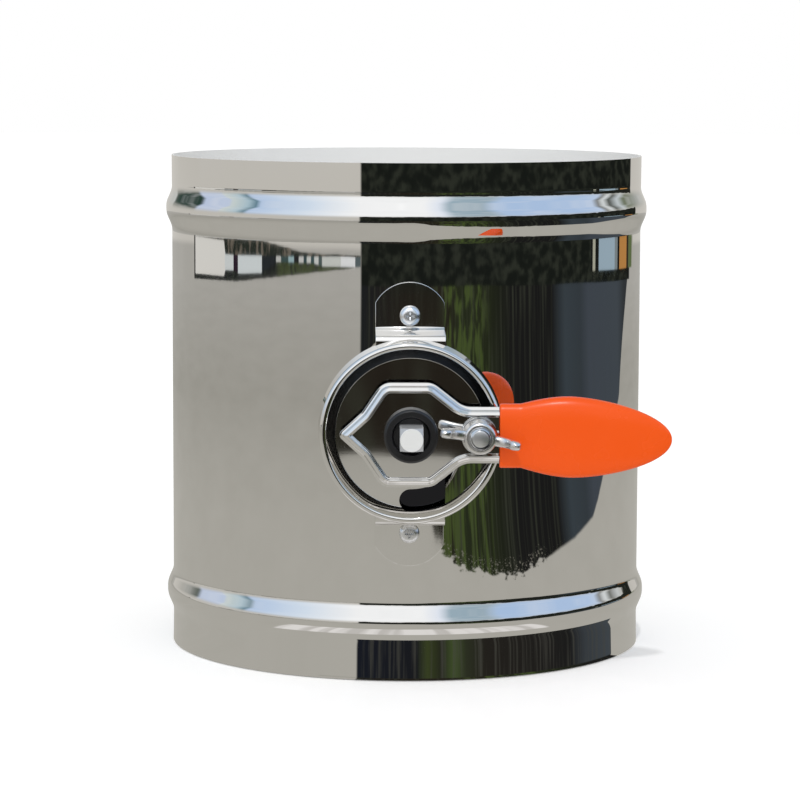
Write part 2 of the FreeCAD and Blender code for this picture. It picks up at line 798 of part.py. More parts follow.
def ring(inner, outer, base, gauge):
    """A flat washer round the clamp bolt."""
    body = disc(outer, base, gauge).cut(disc(inner, base - gauge, gauge * 3))
    body.translate(V(clamp_place, 0, 0))
    return body


def clamp_washer():
    """The plain washer on the lever's floor."""
    return on_shaft(ring(bolt_diameter / 2 + seat_gap, clamp_washer_radius, lever_floor, clamp_washer_gauge))


def spring_washer():
    """The split spring washer under the wing nut."""
    body = ring(bolt_diameter / 2 + hole_play, spring_washer_radius, spring_washer_back, spring_washer_gauge)
    split = Part.makeBox(spring_washer_radius * 2, spring_washer_split, spring_washer_gauge * 3,
                         V(0, -spring_washer_split / 2, spring_washer_back - spring_washer_gauge))
    split.rotate(V(0, 0, 0), V(0, 0, 1), 90)
    split.translate(V(clamp_place, 0, 0))
    return on_shaft(body.cut(split))


def wing_nut():
    """The wing nut: a tapered boss and two ears that rise and spread away from the grip."""
    boss = turned([
        (0, wing_back),
        (clamp_washer_radius, wing_back),
        (clamp_washer_radius, wing_back + wing_foot),
        (clamp_washer_radius - wing_boss_taper, wing_boss_front),
        (0, wing_boss_front),
    ])
    ear_top = wing_back + wing_height
    points = [
        V(bolt_diameter / 2, 0, wing_boss_front - wing_foot / 2),
        V(bolt_diameter / 2, 0, wing_back + wing_foot),
        V(clamp_washer_radius + wing_boss_taper, 0, wing_back + wing_foot + loose_gap),
        V(wing_span, 0, (wing_back + wing_boss_front + wing_foot) / 2),
        V(wing_span, 0, ear_top),
        V(wing_span - wing_tip, 0, ear_top),
    ]
    radii = [0, 0, wing_tip / 2, wing_tip / 2, wing_tip / 2, wing_tip / 4]
    ear = Part.Face(Part.Wire(path_edges(points, radii, closed=True)))
    ear = ear.extrude(V(0, wing_thickness, 0))
    ear.translate(V(0, -wing_thickness / 2, 0))
    body = boss
    for turn in (0, 180):
        side = ear.copy()
        side.rotate(V(0, 0, 0), V(0, 0, 1), turn)
        body = body.fuse(side)
    body = body.removeSplitter()
    body = body.cut(disc(bolt_diameter / 2 + thread_gap, wing_back - wing_boss, wing_boss * 3))
    body.rotate(V(0, 0, 0), V(0, 0, 1), wing_turned)
    body.translate(V(clamp_place, 0, 0))
    return on_shaft(body)


NODES = {
    "barrel": barrel,
    "bracket": bracket,
    "bracket_screws": lambda: Part.makeCompound([screw(side) for side in (-1, 1)]),
    "dial": dial,
    "hub_sleeve": hub_sleeve,
    "dial_bush": dial_bush,
    "shaft": shaft,
    "near_bush": lambda: wall_bush(-1),
    "far_bush": lambda: wall_bush(1),
    "far_washer": far_washer,
    "shaft_clip": shaft_clip,
    "blade": blade,
    "blade_saddle_near": lambda: blade_saddle(-1),
    "blade_saddle_far": lambda: blade_saddle(1),
    "blade_bolts": blade_bolts,
    "blade_nuts": blade_nuts,
    "lever": lever,
    "grip": grip,
    "hub_collar": hub_collar,
    "clamp_bolt": clamp_bolt,
    "clamp_washer": clamp_washer,
    "spring_washer": spring_washer,
    "wing_nut": wing_nut,
}

os.makedirs("parts", exist_ok=True)
for name, make in NODES.items():
    shape = make()
    shape.exportStep("parts/%s.step" % name)
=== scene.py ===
import math

import bmesh
import bpy
import numpy as np
from mathutils import Matrix


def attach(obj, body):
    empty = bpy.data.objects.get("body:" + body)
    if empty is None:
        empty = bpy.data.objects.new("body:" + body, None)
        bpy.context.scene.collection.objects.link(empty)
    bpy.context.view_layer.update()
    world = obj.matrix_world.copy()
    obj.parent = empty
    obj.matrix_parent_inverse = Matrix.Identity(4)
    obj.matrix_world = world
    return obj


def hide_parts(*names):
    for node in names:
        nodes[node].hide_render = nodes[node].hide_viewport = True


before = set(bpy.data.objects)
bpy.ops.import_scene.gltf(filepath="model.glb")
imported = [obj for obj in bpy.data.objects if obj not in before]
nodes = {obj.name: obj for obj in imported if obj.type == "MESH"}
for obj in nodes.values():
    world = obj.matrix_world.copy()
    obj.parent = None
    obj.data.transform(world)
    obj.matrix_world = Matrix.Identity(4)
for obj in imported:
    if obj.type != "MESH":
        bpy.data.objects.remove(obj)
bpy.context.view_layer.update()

# Barrel. A tube of mirror-polished stainless sheet with a bead rolled near each end. The bead stops the
# duct that is pushed over the plain end.
duct_radius = 100.0
duct_wall = 0.8
body_length = 208.0
bead_from_rim = 22.3
bead_height = 2.5
bead_foot_half = 8.0
bead_crest_half = 2.2
bead_rounding = 8.0
upper_flare = 0.15
lower_flare = 0.2
flare_length = 11.5
flare_bend = 40.0
neck_rise = 0.1
neck_length = 2.6
neck_bend = 30.0
rim_inset = 0.02
millimetre = 0.001
merge_distance = 0.002
least_edge = 0.0001


def bent_path(corners, radii, steps=8, hold=0.3):
    """A path through corners. A corner of radius r and half angle h becomes an arc that starts r / tan(h)
    from it, its points slerped between the two tangent radii. Hold points keep the runs beside it flat."""
    corners = np.asarray(corners, float)
    rows = [corners[:1]]
    for before, corner, after, radius in zip(corners, corners[1:], corners[2:], radii):
        back = (before - corner) / np.linalg.norm(before - corner)
        ahead = (after - corner) / np.linalg.norm(after - corner)
        half = 0.5 * math.acos(np.clip(back @ ahead, -1, 1))
        run = radius / math.tan(half)
        centre = corner + (back + ahead) / np.linalg.norm(back + ahead) * radius / math.sin(half)
        start = corner + back * run - centre
        end = corner + ahead * run - centre
        sweep = math.pi - 2 * half
        share = np.linspace(0, 1, steps + 1)[:, None]
        arc = (np.sin((1 - share) * sweep) * start + np.sin(share * sweep) * end) / math.sin(sweep)
        rows += [[corner + back * (run + hold)], centre + arc, [corner + ahead * (run + hold)]]
    return np.concatenate(rows + [corners[-1:]])


def other_face(corners, radii, gauge):
    """The other face of a bent sheet: each run moved by the gauge to its left, corners on the mitre of
    their two runs, and each bend's radius less the gauge on a left turn or plus it on a right turn."""
    corners = np.asarray(corners, float)
    runs = np.diff(corners, axis=0)
    runs /= np.linalg.norm(runs, axis=1)[:, None]
    left = np.stack([-runs[:, 1], runs[:, 0]], axis=1)
    mitre = left[:-1] + left[1:]
    mitre /= (mitre * left[1:]).sum(axis=1)[:, None]
    moved = corners + gauge * np.concatenate([left[:1], mitre, left[-1:]])
    turn = np.sign(runs[:-1, 0] * runs[1:, 1] - runs[:-1, 1] * runs[1:, 0])
    return moved, np.asarray(radii) - turn * gauge


def sheet_section(corners, radii, gauge, steps=8, hold=0.3):
    """The closed outline of a bent sheet: its one face, then the other face backwards, then the start."""
    face = bent_path(corners, radii, steps, hold)
    back = bent_path(*other_face(corners, radii, gauge), steps, hold)
    return np.concatenate([face, back[::-1], face[:1]])


def points_of(x, y, z):
    """Points from arrays of x, y and z, spread to one shape."""
    return np.stack(np.broadcast_arrays(x, y, z), axis=-1)


def around(radius, angle, height):
    """Points about the Z axis: x = r cos a, y = r sin a, z = height."""
    return points_of(radius * np.cos(angle), radius * np.sin(angle), height)


def turned(profile, count):
    """Points of a (radius, height) profile turned about Z in equal steps."""
    radius, height = np.asarray(profile, float).T
    return around(radius, np.linspace(0, 2 * np.pi, count + 1)[:, None], height)


def grid_quads(shape, start=0):
    """The quads of a grid of points, which are numbered row by row from the start. Each quad joins a point
    to the next ones in both directions."""
    index = start + np.arange(shape[0] * shape[1]).reshape(shape)
    corners = [index[:-1, :-1], index[1:, :-1], index[1:, 1:], index[:-1, 1:]]
    return np.stack(corners, axis=-1).reshape(-1, 4)


def placed(name, data):
    """A new object of the scene with its data."""
    made = bpy.data.objects.new(name, data)
    bpy.context.scene.collection.objects.link(made)
    return made


def piece(name, grids, body, replaced, coat, crease=30.0):
    """One mesh from grids of points in millimetres, with equal points merged, faces turned outwards and
    edges over the crease angle kept crisp. It gets a material and a body, and the nodes it replaces are
    hidden."""
    points = np.concatenate([grid.reshape(-1, 3) for grid in grids]) * millimetre
    starts = np.cumsum([0] + [grid[..., 0].size for grid in grids])
    quads = np.concatenate([grid_quads(grid.shape[:2], start) for grid, start in zip(grids, starts)])
    mesh = bpy.data.meshes.new(name)
    mesh.from_pydata(points.tolist(), [], quads.tolist())
    work = bmesh.new()
    work.from_mesh(mesh)
    bmesh.ops.remove_doubles(work, verts=work.verts, dist=merge_distance * millimetre)
    bmesh.ops.dissolve_degenerate(work, dist=least_edge * millimetre, edges=work.edges)
    bmesh.ops.recalc_face_normals(work, faces=work.faces)
    work.to_mesh(mesh)
    work.free()
    mesh.shade_smooth()
    mesh.set_sharp_from_angle(angle=math.radians(crease))
    mesh.materials.append(coat)
    made = placed(name, mesh)
    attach(made, body)
    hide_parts(*replaced)
    return made


def feed(node, values):
    """Feeds a node's inputs by name or place: links an output, or sets a number, a vector or a colour
    without alpha."""
    for label, value in values.items():
        socket = node.inputs[label]
        if isinstance(value, bpy.types.NodeSocket):
            node.id_data.links.new(value, socket)
        elif socket.type == "RGBA":
            socket.default_value = (*value, 1.0)
        else:
            socket.default_value = value


def add_node(tree, kind, inputs, **settings):
    """A new shader node of a kind with its settings, its inputs fed by name or place."""
    made = tree.nodes.new("ShaderNode" + kind)
    for label, value in settings.items():
        setattr(made, label, value)
    feed(made, inputs)
    return made


def plain_finish(name, colour, metallic, roughness):
    """A new material with its tree and its Principled shader, which gets a colour, metal and roughness."""
    made = bpy.data.materials.new(name)
    made.use_nodes = True
    shader = made.node_tree.nodes["Principled BSDF"]
    feed(shader, {"Base Color": colour, "Metallic": metallic, "Roughness": roughness})
    return made, made.node_tree, shader


def surface_group(name, inputs, outputs):
    """A new node group with float or vector sockets by name, its entry's outputs and its exit node."""
    group = bpy.data.node_groups.new(name, "ShaderNodeTree")
    for way, sockets in (("INPUT", inputs), ("OUTPUT", outputs)):
        for label, kind in sockets.items():
            group.interface.new_socket(label, in_out=way, socket_type="NodeSocket" + kind)
    return group, group.nodes.new("NodeGroupInput").outputs, group.nodes.new("NodeGroupOutput")


def wiped_metal_group():
    """Surface group for sheet and bar metal. Smudges: soft noise. Wipe marks: noise stretched across the
    height. Waviness: slow noise stretched along it. Out: the grey of the smudges, a roughness of the base
    plus 0.3 times that grey, and a height of the waviness plus 0.02 times the wipe marks."""
    group, entry, leave = surface_group(
        "wiped metal", {"Smudge": "Float", "Wipe": "Float", "Wave": "Float", "Base": "Float"},
        {"Grey": "Float", "Roughness": "Float", "Height": "Float"})
    place = add_node(group, "TexCoord", {}).outputs["Object"]
    layers = {}
    for label, stretch, scale, detail in (
            ("Smudge", (1, 1, 0.6), 22, 5), ("Wipe", (14, 14, 220), 4, 2), ("Wave", (1, 1, 0.16), 26, 1)):
        mapped = add_node(group, "Mapping", {"Vector": place, "Scale": stretch}).outputs["Vector"]
        noise = add_node(group, "TexNoise", {"Vector": mapped, "Scale": scale, "Detail": detail})
        strength = {0: noise.outputs["Fac"], 1: entry[label]}
        layers[label] = add_node(group, "Math", strength, operation="MULTIPLY").outputs[0]
    rough = {0: layers["Smudge"], 1: 0.3, 2: entry["Base"]}
    rough = add_node(group, "Math", rough, operation="MULTIPLY_ADD").outputs[0]
    height = {0: layers["Wipe"], 1: 0.02, 2: layers["Wave"]}
    height = add_node(group, "Math", height, operation="MULTIPLY_ADD").outputs[0]
    feed(leave, {"Grey": layers["Smudge"], "Roughness": rough, "Height": height})
    return group


wiped_metal = wiped_metal_group()


def metal(name, tones, roughness, smudge, wipe, wave, relief, metallic=1.0):
    """A metal finish: the group's smudge grey mixes the bright tone towards the dull one, its roughness
    goes to the shader, and its height goes through a Bump of the given relief in millimetres."""
    bright, dull = tones
    made, tree, shader = plain_finish(name, bright, metallic, roughness)
    amounts = {"Smudge": smudge, "Wipe": wipe, "Wave": wave, "Base": roughness}
    marks = add_node(tree, "Group", amounts, node_tree=wiped_metal)
    blend = add_node(tree, "Mix", {"Factor": marks.outputs["Grey"], "A": bright, "B": dull}, data_type="RGBA")
    bump = add_node(tree, "Bump", {"Height": marks.outputs["Height"], "Distance": relief * millimetre})
    feed(shader, {"Base Color": blend.outputs["Result"], "Roughness": marks.outputs["Roughness"],
                  "Normal": bump.outputs["Normal"]})
    return made


def change_where(coat, mask, label, value):
    """Mixes a shader input of a finish towards a value where a mask is 1. Where it is 0, the input keeps
    what fed it before, a link or a number."""
    tree = coat.node_tree
    shader = tree.nodes["Principled BSDF"]
    socket = shader.inputs[label]
    before = socket.links[0].from_socket if socket.is_linked else socket.default_value
    kind = "RGBA" if socket.type == "RGBA" else "FLOAT"
    changed = add_node(tree, "Mix", {"Factor": mask, "A": before, "B": value}, data_type=kind)
    feed(shader, {label: changed.outputs["Result"]})


bead_corners = [
    (duct_radius, bead_from_rim - bead_foot_half),
    (duct_radius + bead_height, bead_from_rim - bead_crest_half),
    (duct_radius + bead_height, bead_from_rim + bead_crest_half),
    (duct_radius, bead_from_rim + bead_foot_half),
]
upper_bead = [(radius, body_length - height) for radius, height in reversed(bead_corners)]
neck_top = body_length - bead_from_rim + bead_foot_half + neck_length
barrel_corners = [(duct_radius + lower_flare, rim_inset), (duct_radius, flare_length), *bead_corners,
                  *upper_bead, (duct_radius + neck_rise, neck_top),
                  (duct_radius + upper_flare, body_length - rim_inset)]
barrel_bends = [flare_bend] + [bead_rounding] * 8 + [neck_bend]
barrel_section = sheet_section(barrel_corners, barrel_bends, duct_wall, hold=0.1)

# The polished face of the sheet is outside. Inside the sheet keeps its dull mill face.
polished_tones = ((0.80, 0.79, 0.77), (0.60, 0.59, 0.56))
barrel_steel = metal("barrel steel", polished_tones, 0.012, 0.04, 0.02, 0.4, 0.3)
inside = add_node(barrel_steel.node_tree, "Attribute", {}, attribute_name="inside").outputs["Fac"]
for label, value in (("Base Color", (0.92, 0.92, 0.91)), ("Roughness", 0.45), ("Metallic", 0.1)):
    change_where(barrel_steel, inside, label, value)

barrel = piece("barrel_tube", [turned(barrel_section, 256)], "root", ["barrel"],
               barrel_steel)
faces_axis = [float(vertex.co.xy @ vertex.normal.xy < 0) for vertex in barrel.data.vertices]
inside_marks = barrel.data.attributes.new("inside", "FLOAT", "POINT")
inside_marks.data.foreach_set("value", faces_axis)

# Bracket. A strap of the same polished steel, 1.5 mm thick: two lugs curved to the barrel, two legs and a
# flat platform that carries the dial clear of the duct's insulation. Two screws hold it.
strap_half = 13.75
strap_gauge = 1.5
strap_edge = 0.2
lug_front = 101.6
lug_curve = 122.0
platform_front = 121.9
leg_top = 37.6
leg_foot = 38.4
strap_reach = 57.0
lug_ease_start = 1.0
lug_ease_end = 5.0
lug_end_radius = 15.5
axis_height = 104.0


def at_shaft(grid, x=0.0):
    """Points modelled along Z, set on the shaft: x is kept or moved, y becomes the height above the axis,
    z counts outwards, towards -Y."""
    return points_of(grid[..., 0] + x, -grid[..., 2], grid[..., 1] + axis_height)


def strap_face(path, front):
    """The strap's face from a path of (height, level). Across the width u, a lug is lowered by
    R - sqrt(R^2 - u^2), a little flatter than the barrel, and scaled in length so that its end is an arc.
    The lowering eases off with the front's level, where the leg begins."""
    across = np.linspace(-strap_half, strap_half, 41)[:, None]
    height, level = path.T
    on_lug = np.clip((lug_front + lug_ease_end - front[:, 1]) / (lug_ease_end - lug_ease_start), 0, 1)
    on_lug = on_lug**2 * (3 - 2 * on_lug)
    drop = lug_curve - np.sqrt(lug_curve**2 - across**2)
    end = strap_reach - lug_end_radius + np.sqrt(lug_end_radius**2 - across**2)
    beyond = np.maximum(np.abs(height) - leg_foot, 0)
    arched = np.sign(height) * (np.minimum(np.abs(height), leg_foot)
                                + beyond * (end - leg_foot) / (strap_reach - leg_foot))
    return points_of(across, arched, level - drop * on_lug)


strap_corners = [(strap_reach, lug_front), (leg_foot, lug_front), (leg_top, platform_front),
                 (-leg_top, platform_front), (-leg_foot, lug_front), (-strap_reach, lug_front)]
strap_radii = [1.0, 2.6, 2.6, 1.0]
strap_front = bent_path(strap_corners, strap_radii)
strap_back = bent_path(*other_face(strap_corners, strap_radii, strap_gauge))
front_face = strap_face(strap_front, strap_front)
back_face = strap_face(strap_back, strap_front)
strap_faces = [front_face, back_face]
for side in (0, -1):
    strap_faces.append(np.stack([front_face[side], back_face[side]]))
    strap_faces.append(np.stack([front_face[:, side], back_face[:, side]]))
strap_steel = metal("strap steel", polished_tones, 0.03, 0.2, 0.2, 1.0, 0.5)


def away_group():
    """Surface group for a mask by distance: 0 where the length of the scaled and shifted place is at the
    start, 1 where it is at the end."""
    group, entry, leave = surface_group(
        "away", {"Shift": "Vector", "Scale": "Vector", "Start": "Float", "End": "Float"}, {"Mask": "Float"})
    place = add_node(group, "TexCoord", {}).outputs["Object"]
    moved = add_node(group, "Mapping", {"Vector": place, "Location": entry["Shift"], "Scale": entry["Scale"]})
    distance = add_node(group, "VectorMath", {0: moved.outputs["Vector"]}, operation="LENGTH")
    limits = {"Value": distance.outputs["Value"], "From Min": entry["Start"], "From Max": entry["End"]}
    feed(leave, {"Mask": add_node(group, "MapRange", limits).outputs["Result"]})
    return group


away_from = away_group()


def away_mask(coat, centre, scale, start, end):
    """A mask for a finish by the distance from a centre in millimetres: 0 at the start, 1 at the end. An
    axis whose scale is 0 doesn't count."""
    shift = tuple(-part * size * millimetre for part, size in zip(centre, scale))
    limits = {"Shift": shift, "Scale": scale, "Start": start * millimetre, "End": end * millimetre}
    return add_node(coat.node_tree, "Group", limits, node_tree=away_from).outputs["Mask"]


# Behind the dial the platform gets hardly any light, and that shade is painted: near the platform's middle
# its base colour is near black. Only the arc slot lets one see it.
painted_shade_radius = 34.0
dial_painted_shade = away_mask(strap_steel, (0.0, -platform_front, axis_height), (1.0, 1.0, 1.0), painted_shade_radius,
                    painted_shade_radius - 1.0)
change_where(strap_steel, dial_painted_shade, "Base Color", (0.03, 0.03, 0.035))
strap = piece("bracket_strap", [at_shaft(grid) for grid in strap_faces], "root", ["bracket"],
              strap_steel)
strap_rounding = strap.modifiers.new("rounded edges", "BEVEL")
strap_rounding.width = strap_edge * millimetre
strap_rounding.segments = 3
strap_rounding.angle_limit = math.radians(50)
strap_rounding.harden_normals = True

# Bracket screws. Two pan-head tapping screws, zinc plated, with a cross recess, through the lugs into the
# barrel. Their points stand inside the duct.
screw_radius = 2.1
screw_tip = 92.1
screw_point = 2.4
screw_head_radius = 4.1
screw_head = 2.8
screw_place = 43.6
screw_pitch = 1.4
screw_thread = 0.35
cross_depth = 1.4
cross_half = 0.36
cross_arm = 1.7
cross_lean = 0.2
cross_full = 0.612
cross_gone = 2.652


def bright_plate(name, bright, dull, roughness):
    """A plated metal: as the sheet metal, with stronger smudges and short wipe marks."""
    return metal(name, (bright, dull), roughness, 0.5, 0.5, 0.3, 0.2)


bright_zinc = bright_plate("bright zinc", (0.90, 0.91, 0.92), (0.66, 0.67, 0.69), 0.2)


def threaded(radius, depth, pitch, start, end, taper, columns=64):
    """A screwed bar from start to end: its radius is r - depth |2 frac(z / pitch - a / 2 pi) - 1|, a
    zigzag that climbs one pitch a turn, and shrinks to a point over the taper at its start."""
    angle = np.linspace(0, 2 * np.pi, columns + 1)[:, None]
    height = np.linspace(start, end, max(int((end - start) / pitch * 8), 4))
    ridge = np.abs(2 * np.mod(height / pitch - angle / (2 * np.pi), 1) - 1)
    size = (radius - depth * ridge) * np.clip((height - start) / max(taper, 1e-6) + 0.05, 0, 1)
    return around(size, angle, height)


def cross_head(radius, rise, seat):
    """A pan head: level = seat + rise (1 - (r / R)^5)^0.5, sunk by the cross's depth where a point lies in
    either arm. The arm's walls lean, and its floor rises from the full radius to the gone radius."""
    share = np.sin(np.linspace(0, np.pi / 2, 45))
    angle = np.linspace(0, 2 * np.pi, 145)[:, None]
    r = radius * share
    x = r * np.cos(angle)
    y = r * np.sin(angle)
    outside = np.minimum(np.maximum(np.abs(x) - cross_arm, np.abs(y) - cross_half),
                         np.maximum(np.abs(y) - cross_arm, np.abs(x) - cross_half))
    shallow = np.clip((cross_gone - r) / (cross_gone - cross_full), 0, 1)
    sunk = cross_depth * np.clip(-outside / cross_lean, 0, 1) * shallow
    level = seat + rise * np.sqrt(1 - share**5) - sunk
    return points_of(x, y, level)


screw_parts = [
    cross_head(screw_head_radius, screw_head, lug_front),
    turned([(screw_head_radius, lug_front), (screw_radius - screw_thread, lug_front)], 144),
    threaded(screw_radius, screw_thread, screw_pitch, screw_tip, lug_front, screw_point),
]
screw_grids = [at_shaft(part) + (0, 0, side * screw_place) for side in (-1, 1) for part in screw_parts]
piece("bracket_screw_pair", screw_grids, "root", ["bracket_screws"], bright_zinc)

# Dial. A dished disc pressed from polished steel, its rim rolled over into a skirt, with an arc slot for the
# clamp bolt and a small index ring. The slot is punched, and the skirt is notched over the strap.
dial_gauge = 1.2
dial_floor = 128.4
dial_front = 131.6
dial_floor_radius = 29.35
dial_crest_inner = 33.45
dial_crest_outer = 35.5
dial_floor_bend = 0.3
dial_crest_bend = 1.5
dial_rim_radius = 36.3
skirt_back = 120.4
sleeve_neck_radius = 9.305
clamp_place = 26.5
slot_half = 4.4
mark_angle = 194.7
mark_radius = 1.65
mark_width = 0.5
mark_depth = 0.25
notch_half = strap_half + 0.2
notch_reach = 40.0
tool_reach = 5.0
notch_margin = 3.0
mark_margin = 1.0
mirror_steel = metal("mirror steel", polished_tones, 0.02, 0.12, 0.1, 0.5, 0.3)


def cut_out(target, grid):
    """Cuts a closed tool mesh out of a piece with an exact Boolean, applies it and removes the tool. The
    cut faces take the same finish, and their edges stay crisp."""
    tool = piece("cutter", [at_shaft(grid)], "root", [], target.data.materials[0])
    cut = target.modifiers.new("cut", "BOOLEAN")
    cut.operation = "DIFFERENCE"
    cut.solver = "EXACT"
    cut.object = tool
    shaped = bpy.data.meshes.new_from_object(target.evaluated_get(bpy.context.evaluated_depsgraph_get()))
    target.modifiers.clear()
    old = target.data
    shaped.name = old.name
    target.data = shaped
    bpy.data.objects.remove(tool)
    bpy.data.meshes.remove(old)
    shaped.set_sharp_from_angle(angle=math.radians(30))


def prism(outline, low, high):
    """A closed prism over an outline of (x, y) points: two caps fanned to its middle, and the wall."""
    loop = np.concatenate([outline, outline[:1]])
    middle = np.broadcast_to(outline.mean(axis=0), loop.shape)
    rings = [(middle, low), (loop, low), (loop, high), (middle, high)]
    return np.stack([np.column_stack([ring, np.full(len(ring), level)]) for ring, level in rings])


def rectangle(half, half_length):
    """The four corners of a rectangle about the origin."""
    return np.array([(-half, -half_length), (half, -half_length), (half, half_length), (-half, half_length)])


def banana(radius, half, start, end):
    """The outline of an arc slot: its outer arc, a half round end, its inner arc and the other end."""
    sweep = np.radians(np.linspace(start, end, 61))
    outer = (radius + half) * np.stack([np.cos(sweep), np.sin(sweep)], axis=1)
    inner = (radius - half) * np.stack([np.cos(sweep[::-1]), np.sin(sweep[::-1])], axis=1)
    ends = []
    for angle, way in ((math.radians(end), 0.0), (math.radians(start), math.pi)):
        turn = angle + way + np.linspace(0, np.pi, 21)[1:-1]
        centre = radius * np.array([math.cos(angle), math.sin(angle)])
        ends.append(centre + half * np.stack([np.cos(turn), np.sin(turn)], axis=1))
    return np.concatenate([outer, ends[0], inner, ends[1]])


dial_corners = [
    (sleeve_neck_radius + 0.1, dial_floor),
    (dial_floor_radius, dial_floor),
    (dial_crest_inner, dial_front),
    (dial_crest_outer, dial_front),
    (dial_rim_radius, skirt_back),
]
dial_bends = [dial_floor_bend, dial_crest_bend, dial_crest_bend]
dial_section = sheet_section(dial_corners, dial_bends, -dial_gauge, steps=10, hold=0.02)
dial = piece("dial_pan", [at_shaft(turned(dial_section, 256))], "root", ["dial"],
             mirror_steel)
slot_outline = banana(clamp_place, slot_half, -90, 0)
cut_out(dial, prism(slot_outline, dial_floor - tool_reach, dial_floor + tool_reach))
cut_out(dial, prism(rectangle(notch_half, notch_reach), skirt_back - notch_margin, platform_front))
mark_section = [
    (mark_radius - mark_width, dial_floor + mark_margin), (mark_radius, dial_floor + mark_margin),
    (mark_radius, dial_floor - mark_depth), (mark_radius - mark_width, dial_floor - mark_depth),
    (mark_radius - mark_width, dial_floor + mark_margin),
]
mark_ring = turned(mark_section, 48)
mark_ring[..., 0] += clamp_place * math.cos(math.radians(mark_angle))
mark_ring[..., 1] += clamp_place * math.sin(math.radians(mark_angle))
cut_out(dial, mark_ring)

# Hub sleeve, bushes, washer and clip. A flared steel sleeve joins dial and bracket. Black nylon bushes with
# square bores turn in it and in the barrel's wall. A washer and a push-on clip hold the shaft's far end.
dark_spring = bright_plate("spring steel", (0.42, 0.42, 0.43), (0.25, 0.25, 0.26), 0.25)
black_nylon, nylon_tree, nylon_shader = plain_finish("black nylon", (0.009, 0.009, 0.01), 0.0, 0.3)


def moulded_grain_group():
    """Surface group for moulded plastic: noise of a scale that goes through a Bump of a relief in metres."""
    group, entry, leave = surface_group("moulded grain", {"Scale": "Float", "Relief": "Float"},
                                        {"Normal": "Vector"})
    place = add_node(group, "TexCoord", {}).outputs["Object"]
    grain = add_node(group, "TexNoise", {"Vector": place, "Scale": entry["Scale"]}).outputs["Fac"]
    bump = add_node(group, "Bump", {"Height": grain, "Distance": entry["Relief"]})
    feed(leave, {"Normal": bump.outputs["Normal"]})
    return group


moulded_grain = moulded_grain_group()


def add_grain(tree, shader, scale, relief):
    """Gives a shader the grain of a moulded piece, of a relief in millimetres."""
    amounts = {"Scale": scale, "Relief": relief * millimetre}
    grain = add_node(tree, "Group", amounts, node_tree=moulded_grain)
    feed(shader, {"Normal": grain.outputs["Normal"]})


add_grain(nylon_tree, nylon_shader, 900, 0.04)


def recoat(coat, *names):
    """Gives the material slots of CAD nodes a finished material."""
    for name in names:
        for holder in nodes[name].material_slots:
            holder.material = coat


recoat(bright_zinc, "hub_sleeve", "far_washer", "clamp_washer")
recoat(black_nylon, "dial_bush", "near_bush", "far_bush")
recoat(dark_spring, "shaft_clip", "spring_washer")

# Blade. A round disc of mill-finish sheet with a ring swage, held to the shaft by two hat-shaped saddles,
# each with two bolts and nuts.
mill_steel = metal("mill steel", ((0.66, 0.66, 0.64), (0.45, 0.45, 0.43)), 0.18, 0.5, 0.8, 0.4, 0.3)
recoat(mill_steel, "blade", "blade_saddle_near", "blade_saddle_far")
recoat(bright_zinc, "blade_bolts", "blade_nuts")

# Shaft. A bright drawn square bar through both bushes, its near end turned to a short cone with a round
# face that shows white in the collar.
shaft_half = 4.5
shaft_face = 4.35
shaft_front = 152.0
shaft_far = -109.0
bright_bar = metal("bright bar", ((0.92, 0.93, 0.92), (0.74, 0.75, 0.74)), 0.3, 0.3, 0.9, 0.1, 0.1, 0.35)
# The cone turned at its end gets a darker grey base colour than the face: painted shade, for the corners
# that catch less light.
cone_painted_shade = away_mask(bright_bar, (0.0, 0.0, axis_height), (1.0, 0.0, 1.0), shaft_face, shaft_face + 0.15)
change_where(bright_bar, cone_painted_shade, "Base Color", (0.45, 0.46, 0.47))


def square_with_cone(half, face, front, far):
    """A square bar whose section at each level is the square cut by a circle: the distance to the wall is
    min(half / max(|cos a|, |sin a|), r), where r shrinks at 45 degrees to the face at the front."""
    corner = half * math.sqrt(2)
    level = np.concatenate([[far, far], np.linspace(front - corner + face, front, 15), [front]])
    reach = np.minimum(corner, face + front - level)
    reach[[0, -1]] = 0.0
    edges = np.pi / 4 + np.pi / 2 * np.arange(4)
    angle = np.unique(np.concatenate([np.linspace(0, 2 * np.pi, 97), edges]))[:, None]
    wall = half / np.maximum(np.abs(np.cos(angle)), np.abs(np.sin(angle)))
    size = np.minimum(wall, reach)
    return around(size, angle, level)


shaft_grid = square_with_cone(shaft_half, shaft_face, shaft_front, shaft_far)
piece("square_shaft", [at_shaft(shaft_grid)], "rotor", ["shaft"], bright_bar)

# Lever. A pan pressed from the polished sheet: a raised rim all round with a pointer on the left, a flat
# floor, and a channelled neck that runs into the grip. It turns on the square shaft.
lever_back = 134.0
lever_floor = 135.3
lever_front = 138.3
lever_gauge = 1.3
lever_rim = 3.7
lever_overlap = 1.2
lever_hollow = 2.6
least_bend = 0.15
lever_corners = np.array([
    (-28.75, 0.0), (-19.0, 8.9), (-11.2, 20.4), (8.4, 20.4), (20.4, 11.0), (42.4, 11.0),
    (42.4, -11.0), (20.4, -11.0), (8.4, -20.4), (-11.2, -20.4), (-19.0, -8.9),
])
lever_radii = np.array([2.2, 5.0, 6.5, 7.0, 9.0, 0.3, 0.3, 9.0, 7.0, 6.5, 5.0])


